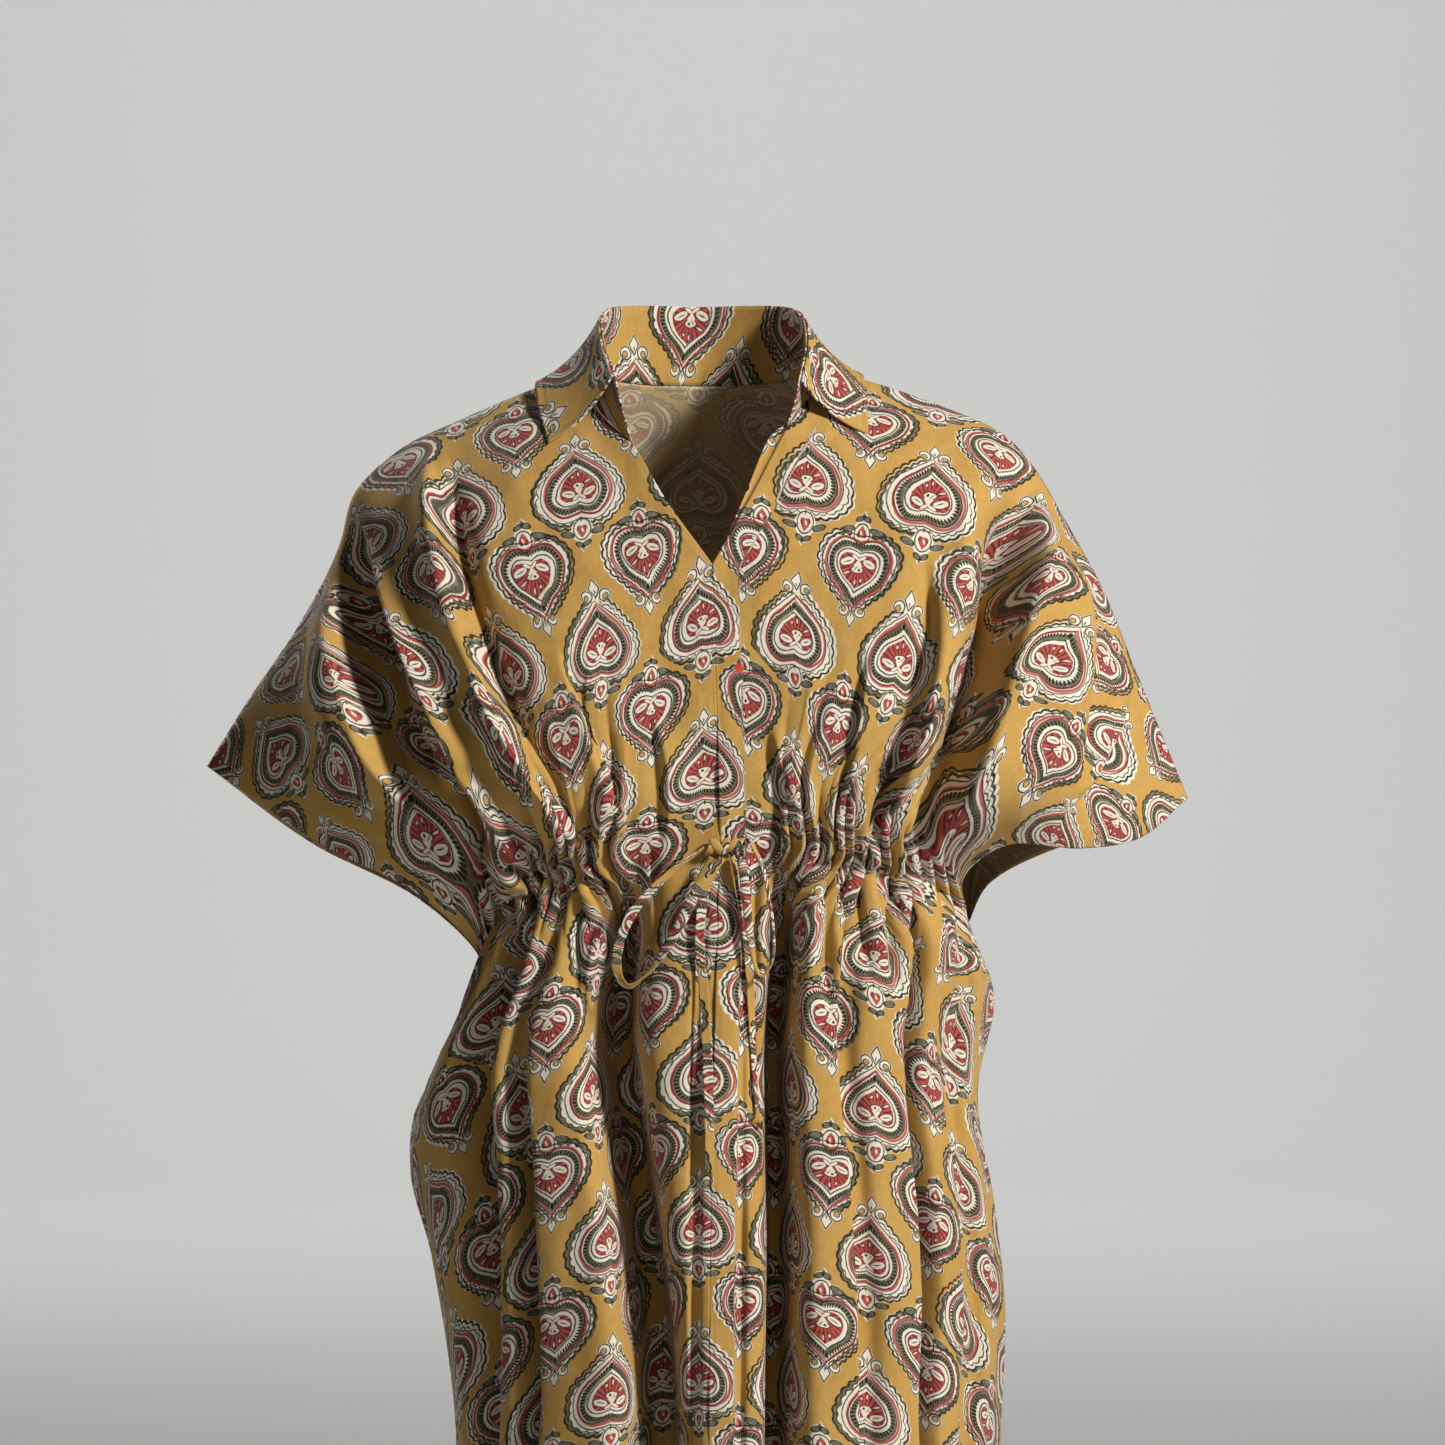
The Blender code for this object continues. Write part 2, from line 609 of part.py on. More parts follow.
def walled(name, outside, inside, material):
    """A closed wall between two grids of points, joined round their rims."""
    mesh = bmesh.new()
    layers = []
    for grid in (outside, inside):
        layers.append([[mesh.verts.new(Vector(point)) for point in row] for row in grid])
    rows = len(outside)
    columns = len(outside[0])
    for layer in layers:
        for i in range(rows - 1):
            for j in range(columns - 1):
                mesh.faces.new([layer[i][j], layer[i + 1][j], layer[i + 1][j + 1], layer[i][j + 1]])
    rim = [(0, j) for j in range(columns)] + [(i, columns - 1) for i in range(1, rows)]
    rim += [(rows - 1, j) for j in range(columns - 2, -1, -1)] + [(i, 0) for i in range(rows - 2, 0, -1)]
    for (i1, j1), (i2, j2) in zip(rim, rim[1:] + rim[:1]):
        mesh.faces.new([layers[0][i1][j1], layers[0][i2][j2], layers[1][i2][j2], layers[1][i1][j1]])
    bmesh.ops.recalc_face_normals(mesh, faces=mesh.faces[:])
    data = bpy.data.meshes.new(name)
    mesh.to_mesh(data)
    mesh.free()
    data.shade_smooth()
    data.set_sharp_from_angle(angle=SHARP_ANGLE)
    data.materials.append(material)
    obj = bpy.data.objects.new(name, data)
    bpy.context.scene.collection.objects.link(obj)
    return obj


def part_at_seam(points, inward, rows, column, axis, shift):
    """Moves the edge points at a seam half the gap apart and keeps the wall's end in the seam's plane."""
    points[rows, column, axis] += shift
    flat = inward[rows, column]
    depth = np.linalg.norm(flat, axis=-1, keepdims=True)
    flat = flat.copy()
    flat[..., axis] = 0.0
    kept = np.linalg.norm(flat, axis=-1, keepdims=True)
    inward[rows, column] = flat * (depth / np.maximum(kept, LEAST_KEPT * depth)) ** 2


def front_panel(side):
    """Outside and inside points of one front, parted from its neighbours at the seams."""
    points = front_half(side)
    inward = -normals_of(points, -1) * WALL
    half_gap = SEAM_GAP / 2
    part_at_seam(points, inward, slice(V_ROW, None), 0, 0, side * half_gap)
    part_at_seam(points, inward, 0, slice(None), 1, -half_gap)
    part_at_seam(points, inward, slice(BODICE_ROWS - 1, None), -1, 1, -half_gap)
    return points, points + inward


def back_panel():
    """Outside and inside points of the back, parted from the fronts at the shoulder and side seams."""
    points = np.concatenate([back_half(-1)[:, :0:-1], back_half(1)], axis=1)
    inward = -normals_of(points, 1) * WALL
    half_gap = SEAM_GAP / 2
    seam = np.abs(points[0, :, 0]) > SHOULDER_SEAM_START * SHOULDER_RIGHT[0].x
    part_at_seam(points, inward, 0, seam, 1, half_gap)
    for column in (0, -1):
        part_at_seam(points, inward, slice(BODICE_ROWS - 1, None), column, 1, half_gap)
    return points, points + inward


def strip_inside(points, inside, gap, depth):
    """A strip on a panel's inner face, made from the panel's own points moved further in."""
    inward = (inside - points) / WALL
    return points + inward * (WALL + gap), points + inward * (WALL + gap + depth)


def neck_facing(panel):
    """The turned edge inside one side of the V opening."""
    points, inside = (grid[FACING_FIRST_ROW : V_ROW + 1, :FACING_COLUMNS] for grid in panel)
    return strip_inside(points, inside, SEAM_GAP, FACING_WALL)


def waist_casing(left, right):
    """The channel inside the fronts that the drawstring runs through."""
    last = round(CASING_SHARE * (COLUMNS - 1))
    waist = BODICE_ROWS - 1
    layers = []
    for left_grid, right_grid in zip(left, right):
        whole = np.concatenate([left_grid[:, last:0:-1], right_grid[:, : last + 1]], axis=1)
        layers.append(whole[waist - 1 : waist + 2])
    return strip_inside(layers[0], layers[1], CASING_GAP, FACING_WALL)


def neck_seam(count):
    """Points along the neck seam, from the right end of the collar round the back to the left end."""
    front_right = spline(NECK_RIGHT, np.linspace(STAND_END_RIGHT, 0.0, count))
    back_right = spline(BACK_NECK, np.linspace(1.0, 0.0, count))
    back_left = spline(back_neck_places(-1), np.linspace(0.0, 1.0, count))
    front_left = spline(NECK_LEFT, np.linspace(0.0, STAND_END_LEFT, count))
    return np.concatenate([front_right, back_right[1:], back_left[1:], front_left[1:]])


def evenly(points, count):
    """A polyline's points spread evenly along it."""
    return resample(points[None], count)[0]


def outward_from_neck(points):
    """Level directions away from the neck's axis."""
    away = points - np.array(NECK_AXIS)
    away[:, 2] = 0.0
    return away / np.linalg.norm(away, axis=1, keepdims=True)


def collar_stand():
    """The upright band between the neck seam and the collar's fold."""
    lower = evenly(neck_seam(SEAM_STEPS), COLLAR_COLUMNS)
    upper = spline(COLLAR_FOLD, np.linspace(0.0, 1.0, COLLAR_COLUMNS))
    rise = upper - lower
    lower = lower + rise / np.linalg.norm(rise, axis=1, keepdims=True) * COLLAR_GAP
    shares = np.linspace(0.0, 1.0, STAND_ROWS)[:, None, None]
    outside = lower + (upper - lower) * shares
    return outside, outside - outward_from_neck(upper) * WALL


def collar_leaf():
    """The part of the collar that falls from the fold to its points and lies on the shoulders."""
    fold = spline(COLLAR_FOLD, np.linspace(0.0, 1.0, COLLAR_COLUMNS))
    fold = fold + outward_from_neck(fold) * (WALL + COLLAR_GAP)
    edge = spline(COLLAR_EDGE, np.linspace(0.0, 1.0, COLLAR_COLUMNS))
    turn = fold + (edge - fold) * np.array(LEAF_TURN)
    t = np.linspace(0.0, 1.0, LEAF_ROWS)[:, None, None]
    outside = (1 - t) ** 2 * fold + 2 * t * (1 - t) * turn + t**2 * edge
    normal = normals_of(outside, -1)
    away = outward_from_neck(fold)[None] + np.array([0.0, 0.0, LEAF_RISE])
    normal *= np.sign((normal * away).sum(axis=2, keepdims=True))
    normal[0] = outward_from_neck(fold)
    return outside, outside - normal * WALL


def cord(name, route, radius, material):
    """A drawstring end or loop: a tube on a smooth curve through the route's points."""
    places = [Place(i / (len(route) - 1), *point) for i, point in enumerate(route)]
    fine = spline(places, np.linspace(0.0, 1.0, CURVE_STEPS))
    length = np.linalg.norm(np.diff(fine, axis=0), axis=1).sum()
    points = evenly(fine, max(CORD_LEAST_POINTS, round(length / CORD_STEP)))
    curve = bpy.data.curves.new(name, "CURVE")
    curve.dimensions = "3D"
    line = curve.splines.new("POLY")
    line.points.add(len(points) - 1)
    for target, point in zip(line.points, points):
        target.co = (*point, 1.0)
    curve.bevel_depth = radius
    curve.bevel_resolution = CORD_ROUNDNESS
    curve.use_fill_caps = True
    curve.materials.append(material)
    obj = bpy.data.objects.new(name, curve)
    bpy.context.scene.collection.objects.link(obj)
    return obj


def knot(name, centre, size, turn, material):
    """A small pulled knot: a round body with a groove round it where the cord crosses itself."""
    mesh = bmesh.new()
    bmesh.ops.create_uvsphere(mesh, u_segments=KNOT_SEGMENTS, v_segments=KNOT_RINGS, radius=0.5)
    for vert in mesh.verts:
        pinch = 1.0 - KNOT_PINCH * math.exp(-((vert.co.x / KNOT_GROOVE) ** 2))
        vert.co.y *= pinch
        vert.co.z *= pinch
    bmesh.ops.scale(mesh, vec=Vector(size), verts=mesh.verts)
    data = bpy.data.meshes.new(name)
    mesh.to_mesh(data)
    mesh.free()
    data.shade_smooth()
    data.materials.append(material)
    obj = bpy.data.objects.new(name, data)
    obj.location = centre
    obj.rotation_euler = (0.0, turn, 0.0)
    bpy.context.scene.collection.objects.link(obj)
    return obj


def main():
    clear_scene()
    print_cotton = cotton("printed_cotton", COTTON_COLOUR)
    right = front_panel(1)
    left = front_panel(-1)
    panels = {
        "front_right": right,
        "front_left": [grid[:, ::-1] for grid in left],
        "back": back_panel(),
        "neck_facing_right": neck_facing(right),
        "neck_facing_left": [grid[:, ::-1] for grid in neck_facing(left)],
        "waist_casing": waist_casing(left, right),
        "collar_stand": collar_stand(),
        "collar_leaf": collar_leaf(),
    }
    for name, (outside, inside) in panels.items():
        walled(name, outside, inside, print_cotton)
    for name, route in CORD_ROUTES.items():
        cord(name, route, CORD_RADIUS, print_cotton)
    knot("drawstring_knot", KNOT_CENTRE, KNOT_SIZE, KNOT_TURN, print_cotton)
    knot("drawstring_end_knot", END_KNOT_CENTRE, END_KNOT_SIZE, 0.0, print_cotton)


main()
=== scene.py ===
"""The looks of a worn kaftan in block-printed cotton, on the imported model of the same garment.

Metres, +Z up, +X to the viewer's right, the front facing -Y. Each panel is a grid of the flat
cut, carried onto the worn shape, so that the print follows the cloth.
"""

from collections import namedtuple
import math

import bmesh
import bpy
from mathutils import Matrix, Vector
import numpy as np


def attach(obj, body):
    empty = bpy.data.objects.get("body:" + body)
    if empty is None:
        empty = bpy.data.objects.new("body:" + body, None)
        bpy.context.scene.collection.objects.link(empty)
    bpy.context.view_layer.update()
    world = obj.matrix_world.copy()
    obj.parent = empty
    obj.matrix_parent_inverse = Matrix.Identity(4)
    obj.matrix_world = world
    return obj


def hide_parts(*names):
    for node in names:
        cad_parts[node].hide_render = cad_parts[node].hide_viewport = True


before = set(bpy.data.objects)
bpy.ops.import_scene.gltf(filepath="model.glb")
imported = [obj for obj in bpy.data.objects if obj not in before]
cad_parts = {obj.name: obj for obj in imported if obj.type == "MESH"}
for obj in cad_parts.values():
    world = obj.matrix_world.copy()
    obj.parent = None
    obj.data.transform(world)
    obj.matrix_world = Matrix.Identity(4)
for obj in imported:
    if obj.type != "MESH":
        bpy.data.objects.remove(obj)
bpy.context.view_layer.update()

# Driving sizes of the garment, as in its solids
LENGTH = 1.30
HALF_SPAN = 0.54
NECK_HALF = 0.075
CASING_DROP = 0.36
CASING_SHARE = 0.66
CASING_HEIGHT = 0.026
HEM_LEVEL = 0.015 - LENGTH

# How the solids' rows crowd towards the shoulder, and where the V opening ends among them
SOLID_ROWS = 11
ROW_CROWDING = 1.3
CASING_ABOVE = 1 - CASING_HEIGHT / 2 / CASING_DROP
V_SHARE = CASING_ABOVE * (6 / SOLID_ROWS) ** ROW_CROWDING
TOP_FADE_ROWS = 3

# How a panel rounds forwards or backwards from the shoulder seam, and from the waist line
SHOULDER_START = 0.62
SHOULDER_ROUNDING = 2.2
WAIST_ROUNDING = 1.6
CENTRE_FLATNESS = 1.7
CENTRE_EASE = 0.06
OUTER_FADE = 0.08

Place = namedtuple("Place", "share x y z")
Fold = namedtuple("Fold", "x1 z1 x2 z2 x3 z3 width depth")
Step = namedtuple("Step", "x1 z1 x2 z2 x3 z3 left right depth")
Recess = namedtuple("Recess", "top middle hem left right depth start")

# The two sides as seen from the front, by the sign of x
RIGHT, LEFT = 1, -1

# Corners where the seams meet, as x, y and z
NECK_CORNER = {RIGHT: (0.086, 0.000, 0.000), LEFT: (-0.088, 0.000, -0.003)}
SLEEVE_TIP = {RIGHT: (0.353, 0.000, -0.309), LEFT: (-0.353, 0.000, -0.286)}
UNDERARM = {RIGHT: (0.195, 0.008, -0.400), LEFT: (-0.149, 0.006, -0.442)}
HEM_SIDE = {RIGHT: (0.236, 0.014, HEM_LEVEL), LEFT: (-0.214, 0.014, HEM_LEVEL)}
NECK_BACK = (0.000, 0.062, -0.010)
V_POINT = (0.011, -0.099, -0.142)
WAIST_FRONT = (0.016, -0.121, -0.337)
WAIST_BACK = (0.000, 0.118, -0.352)
HEM_FRONT = (0.006, -0.152, HEM_LEVEL)
HEM_BACK = (0.000, 0.142, HEM_LEVEL)


def edge_line(first, last, *between):
    """An edge from corner to corner; each row between is the share of its length, x, y and z."""
    return [Place(0.0, *first), *(Place(*row) for row in between), Place(1.0, *last)]


# Seam from the neck over the shoulder and down the top of the sleeve
SHOULDER = {
    RIGHT: edge_line(
        NECK_CORNER[RIGHT], SLEEVE_TIP[RIGHT],
        (0.09, 0.127, 0.002, -0.010),
        (0.20, 0.176, 0.003, -0.027),
        (0.31, 0.220, 0.003, -0.047),
        (0.40, 0.243, 0.002, -0.072),
        (0.50, 0.264, 0.000, -0.108),
        (0.62, 0.290, 0.000, -0.155),
        (0.77, 0.315, 0.000, -0.216),
    ),
    LEFT: edge_line(
        NECK_CORNER[LEFT], SLEEVE_TIP[LEFT],
        (0.10, -0.127, 0.002, -0.018),
        (0.22, -0.169, 0.003, -0.036),
        (0.34, -0.217, 0.003, -0.060),
        (0.43, -0.247, 0.002, -0.090),
        (0.51, -0.257, 0.000, -0.125),
        (0.66, -0.286, 0.000, -0.183),
        (0.80, -0.319, 0.000, -0.232),
    ),
}

# Edges of the V opening, from the shoulder seams to the point of the V
NECK = {
    RIGHT: edge_line(
        NECK_CORNER[RIGHT], V_POINT,
        (0.20, 0.078, -0.034, -0.022),
        (0.38, 0.064, -0.058, -0.044),
        (0.68, 0.039, -0.080, -0.092),
    ),
    LEFT: edge_line(
        NECK_CORNER[LEFT], V_POINT,
        (0.20, -0.072, -0.034, -0.030),
        (0.42, -0.046, -0.060, -0.057),
        (0.70, -0.021, -0.082, -0.098),
    ),
}

# Sleeve hems, from the tip to the underarm
FRONT_CUFF = {
    RIGHT: edge_line(
        SLEEVE_TIP[RIGHT], UNDERARM[RIGHT],
        (0.24, 0.311, -0.045, -0.338),
        (0.40, 0.272, -0.068, -0.343),
        (0.60, 0.220, -0.078, -0.340),
        (0.78, 0.191, -0.052, -0.362),
    ),
    LEFT: edge_line(
        SLEEVE_TIP[LEFT], UNDERARM[LEFT],
        (0.36, -0.268, -0.052, -0.340),
        (0.64, -0.195, -0.072, -0.377),
        (0.84, -0.158, -0.042, -0.415),
    ),
}
BACK_CUFF = {
    RIGHT: edge_line(
        SLEEVE_TIP[RIGHT], UNDERARM[RIGHT],
        (0.25, 0.309, 0.048, -0.334),
        (0.48, 0.262, 0.074, -0.348),
        (0.75, 0.214, 0.062, -0.372),
    ),
    LEFT: edge_line(
        SLEEVE_TIP[LEFT], UNDERARM[LEFT],
        (0.36, -0.278, 0.052, -0.345),
        (0.64, -0.205, 0.070, -0.384),
        (0.84, -0.164, 0.042, -0.418),
    ),
}

# Waist line, from the centre to the underarm
FRONT_WAIST = {
    RIGHT: edge_line(
        WAIST_FRONT, UNDERARM[RIGHT],
        (0.35, 0.085, -0.116, -0.343),
        (0.60, 0.130, -0.100, -0.352),
        (0.75, 0.155, -0.080, -0.361),
        (0.90, 0.184, -0.036, -0.383),
    ),
    LEFT: edge_line(
        WAIST_FRONT, UNDERARM[LEFT],
        (0.38, -0.060, -0.117, -0.342),
        (0.62, -0.100, -0.101, -0.350),
        (0.75, -0.122, -0.082, -0.362),
        (0.90, -0.148, -0.036, -0.408),
    ),
}
BACK_WAIST = {
    RIGHT: edge_line(
        WAIST_BACK, UNDERARM[RIGHT],
        (0.45, 0.090, 0.112, -0.356),
        (0.75, 0.160, 0.078, -0.376),
        (0.92, 0.193, 0.034, -0.394),
    ),
    LEFT: edge_line(
        WAIST_BACK, UNDERARM[LEFT],
        (0.45, -0.085, 0.110, -0.358),
        (0.75, -0.140, 0.074, -0.392),
        (0.92, -0.156, 0.032, -0.430),
    ),
}

# Side seams from the underarm down, and the bottom hems from the centre to the side seam
SIDE_SEAM = {
    RIGHT: edge_line(
        UNDERARM[RIGHT], HEM_SIDE[RIGHT],
        (0.07, 0.214, 0.006, -0.453),
        (0.14, 0.202, 0.006, -0.518),
        (0.23, 0.214, 0.008, -0.600),
        (0.31, 0.222, 0.010, -0.672),
        (0.42, 0.219, 0.010, -0.773),
        (0.70, 0.226, 0.012, -1.020),
    ),
    LEFT: edge_line(
        UNDERARM[LEFT], HEM_SIDE[LEFT],
        (0.07, -0.178, 0.006, -0.500),
        (0.15, -0.207, 0.008, -0.566),
        (0.24, -0.192, 0.010, -0.640),
        (0.38, -0.175, 0.010, -0.760),
        (0.60, -0.186, 0.012, -0.950),
    ),
}
FRONT_HEM = {
    RIGHT: edge_line(
        HEM_FRONT, HEM_SIDE[RIGHT],
        (0.40, 0.112, -0.134, HEM_LEVEL),
        (0.75, 0.198, -0.078, HEM_LEVEL),
    ),
    LEFT: edge_line(
        HEM_FRONT, HEM_SIDE[LEFT],
        (0.40, -0.098, -0.134, HEM_LEVEL),
        (0.75, -0.178, -0.078, HEM_LEVEL),
    ),
}
BACK_HEM = {
    RIGHT: edge_line(
        HEM_BACK, HEM_SIDE[RIGHT],
        (0.40, 0.108, 0.128, HEM_LEVEL),
        (0.75, 0.196, 0.084, HEM_LEVEL),
    ),
    LEFT: edge_line(
        HEM_BACK, HEM_SIDE[LEFT],
        (0.40, -0.100, 0.128, HEM_LEVEL),
        (0.75, -0.180, 0.084, HEM_LEVEL),
    ),
}

# Centre lines: the front seam and the back above the waist, and both below it
CENTRE_FRONT = edge_line(
    V_POINT, WAIST_FRONT,
    (0.36, 0.013, -0.117, -0.215),
    (0.68, 0.015, -0.123, -0.280),
)
CENTRE_BACK = edge_line(
    NECK_BACK, WAIST_BACK,
    (0.28, 0.000, 0.094, -0.095),
    (0.60, 0.000, 0.114, -0.210),
)
CENTRE_FRONT_SKIRT = edge_line(
    WAIST_FRONT, HEM_FRONT,
    (0.25, 0.010, -0.136, -0.570),
    (0.50, 0.008, -0.145, -0.800),
)
CENTRE_BACK_SKIRT = edge_line(
    WAIST_BACK, HEM_BACK,
    (0.25, 0.000, 0.128, -0.570),
    (0.50, 0.000, 0.134, -0.800),
)

# Back neck edge, from the centre back to the right shoulder seam
BACK_NECK = edge_line(
    NECK_BACK, NECK_CORNER[RIGHT],
    (0.36, 0.042, 0.053, -0.009),
    (0.72, 0.074, 0.029, -0.005),
)
BACK_NECK_SHARE = NECK_HALF / HALF_SPAN

# Drag folds of the bodice and sleeves, each through three points seen from the front
BODICE_FOLDS = [
    Fold(-0.188, -0.060, -0.172, -0.175, -0.108, -0.300, 0.011, 0.010),
    Fold(-0.176, -0.075, -0.148, -0.195, -0.096, -0.300, 0.008, -0.012),
    Fold(-0.2450, -0.125, -0.228, -0.200, -0.190, -0.290, 0.011, -0.024),
    Fold(-0.262, -0.140, -0.262, -0.215, -0.222, -0.305, 0.016, 0.010),
    Fold(-0.232, -0.130, -0.208, -0.205, -0.165, -0.285, 0.012, 0.008),
    Fold(-0.166, -0.300, -0.153, -0.335, -0.146, -0.372, 0.009, -0.022),
    Fold(-0.126, -0.255, -0.108, -0.300, -0.094, -0.340, 0.009, 0.006),
    Fold(0.2340, -0.085, 0.2200, -0.165, 0.1620, -0.320, 0.012, -0.034),
    Fold(0.262, -0.125, 0.262, -0.200, 0.222, -0.318, 0.018, 0.011),
    Fold(0.194, -0.095, 0.184, -0.150, 0.150, -0.300, 0.011, 0.008),
    Fold(0.160, -0.200, 0.139, -0.270, 0.120, -0.335, 0.008, -0.012),
    Fold(0.300, -0.215, 0.296, -0.270, 0.282, -0.335, 0.015, -0.008),
]
BACK_BODICE_FOLDS = [
    Fold(-0.196, -0.070, -0.184, -0.180, -0.150, -0.320, 0.014, 0.009),
    Fold(-0.244, -0.115, -0.236, -0.205, -0.196, -0.310, 0.014, -0.012),
    Fold(-0.110, -0.060, -0.104, -0.180, -0.090, -0.330, 0.018, -0.006),
    Fold(0.110, -0.060, 0.106, -0.180, 0.092, -0.330, 0.018, -0.006),
    Fold(0.198, -0.070, 0.190, -0.180, 0.158, -0.320, 0.014, 0.009),
    Fold(0.246, -0.110, 0.240, -0.200, 0.206, -0.310, 0.014, -0.012),
]

# Creased folds, each a line through three points with the cloth proud on one side and tucked in on
# the other: proud to its left where the depth is above zero, to its right where it is below
BODICE_CREASES = [
    Step(-0.1878, -0.076, -0.1540, -0.200, -0.1086, -0.300, 0.0240, 0.0140, 0.0128),
    Step(-0.2525, -0.115, -0.2420, -0.220, -0.2080, -0.300, 0.0280, 0.0200, 0.0240),
    Step(-0.2420, -0.115, -0.1990, -0.224, -0.1640, -0.300, 0.0160, 0.0200, -0.0130),
    Step(-0.1640, -0.295, -0.1460, -0.335, -0.1370, -0.376, 0.0260, 0.0160, -0.0180),
    Step(-0.1480, -0.235, -0.1150, -0.290, -0.0830, -0.335, 0.0090, 0.0080, 0.0067),
    Step(-0.1290, -0.262, -0.1030, -0.306, -0.0800, -0.342, 0.0070, 0.0070, 0.0060),
    Step(-0.0920, -0.215, -0.0650, -0.290, -0.0480, -0.335, 0.0100, 0.0090, 0.0060),
    Step(-0.0300, -0.255, -0.0230, -0.295, -0.0240, -0.335, 0.0080, 0.0100, -0.0053),
    Step(0.0530, -0.265, 0.0600, -0.305, 0.0590, -0.345, 0.0080, 0.0100, -0.0075),
    Step(0.2440, -0.090, 0.2190, -0.205, 0.1720, -0.325, 0.0300, 0.0240, -0.0270),
    Step(0.2010, -0.130, 0.1860, -0.220, 0.1560, -0.305, 0.0180, 0.0160, 0.0090),
    Step(0.1650, -0.150, 0.1630, -0.220, 0.1380, -0.300, 0.0110, 0.0140, -0.0078),
    Step(0.1690, -0.235, 0.1430, -0.295, 0.1240, -0.342, 0.0090, 0.0090, -0.0075),
    Step(0.1890, -0.250, 0.1780, -0.285, 0.1480, -0.340, 0.0100, 0.0100, 0.0075),
    Step(0.1180, -0.210, 0.1080, -0.280, 0.0980, -0.335, 0.0100, 0.0090, -0.0060),
    Step(0.2670, -0.140, 0.2730, -0.200, 0.2700, -0.285, 0.0240, 0.0120, 0.0093),
    Step(0.3100, -0.230, 0.3000, -0.270, 0.2700, -0.310, 0.0200, 0.0140, 0.0075),
]
BACK_BODICE_CREASES = [
    Step(-0.1960, -0.070, -0.1840, -0.180, -0.1500, -0.320, 0.0220, 0.0140, 0.0120),
    Step(-0.2480, -0.110, -0.2380, -0.205, -0.1960, -0.310, 0.0280, 0.0180, 0.0142),
    Step(-0.1300, -0.200, -0.1200, -0.270, -0.1160, -0.340, 0.0120, 0.0120, -0.0060),
    Step(-0.0560, -0.180, -0.0500, -0.270, -0.0520, -0.345, 0.0140, 0.0100, 0.0060),
    Step(0.0500, -0.170, 0.0540, -0.260, 0.0500, -0.345, 0.0100, 0.0140, -0.0067),
    Step(0.1260, -0.190, 0.1180, -0.270, 0.1120, -0.340, 0.0120, 0.0120, 0.0063),
    Step(0.2000, -0.080, 0.1880, -0.190, 0.1600, -0.320, 0.0160, 0.0220, -0.0120),
    Step(0.2480, -0.100, 0.2400, -0.200, 0.2060, -0.310, 0.0200, 0.0260, -0.0150),
]

# Hanging folds of the skirt: hollows between the tubes, as signed shares of the way from the
# centre to the side seam, at the waist, half way down and at the hem
FRONT_RECESSES = [
    Recess(-0.71, -0.83, -0.80, 0.012, 0.014, 0.052, 0.06),
    Recess(-0.55, -0.60, -0.62, 0.012, 0.005, 0.028, 0.25),
    Recess(-0.33, -0.175, -0.165, 0.015, 0.021, 0.080, 0.07),
    Recess(-0.05, -0.05, -0.06, 0.003, 0.005, 0.006, 0.15),
    Recess(0.09, 0.09, 0.09, 0.002, 0.004, 0.005, 0.10),
    Recess(0.225, 0.225, 0.23, 0.012, 0.011, 0.075, 0.07),
    Recess(0.42, 0.47, 0.48, 0.003, 0.014, 0.011, 0.12),
    Recess(0.70, 0.685, 0.70, 0.005, 0.006, 0.050, 0.10),
    Recess(0.88, 0.86, 0.86, 0.012, 0.005, 0.010, 0.10),
]

# Short folds that hang from the drawstring's gathers
SKIRT_FOLDS = [
    Fold(-0.1330, -0.350, -0.1360, -0.385, -0.1450, -0.430, 0.0060, -0.0100),
    Fold(-0.1030, -0.345, -0.1040, -0.380, -0.1080, -0.430, 0.0060, -0.0130),
    Fold(-0.0880, -0.345, -0.0875, -0.385, -0.0865, -0.445, 0.0060, -0.0170),
    Fold(-0.0700, -0.345, -0.0695, -0.380, -0.0680, -0.425, 0.0060, -0.0120),
    Fold(-0.0330, -0.340, -0.0300, -0.370, -0.0270, -0.410, 0.0060, -0.0080),
    Fold(0.0420, -0.340, 0.0405, -0.430, 0.0440, -0.580, 0.0085, -0.0150),
    Fold(0.0930, -0.345, 0.0930, -0.390, 0.0945, -0.450, 0.0065, -0.0150),
    Fold(0.1080, -0.345, 0.1070, -0.370, 0.1070, -0.405, 0.0055, -0.0110),
    Fold(0.1210, -0.345, 0.1205, -0.375, 0.1220, -0.425, 0.0060, -0.0140),
    Fold(0.1370, -0.350, 0.1390, -0.385, 0.1430, -0.440, 0.0060, -0.0130),
]

# The back's hollows between the tubes
BACK_RECESSES = [
    Recess(-0.66, -0.66, -0.64, 0.017, 0.015, 0.040, 0.10),
    Recess(-0.50, -0.48, -0.48, 0.004, 0.012, 0.010, 0.30),
    Recess(-0.36, -0.35, -0.34, 0.014, 0.016, 0.034, 0.16),
    Recess(-0.05, -0.04, -0.03, 0.018, 0.016, 0.044, 0.05),
    Recess(0.27, 0.29, 0.30, 0.013, 0.015, 0.036, 0.12),
    Recess(0.44, 0.45, 0.45, 0.010, 0.004, 0.010, 0.25),
    Recess(0.60, 0.62, 0.64, 0.017, 0.015, 0.042, 0.08),
]
RECESS_SPAN = 0.26

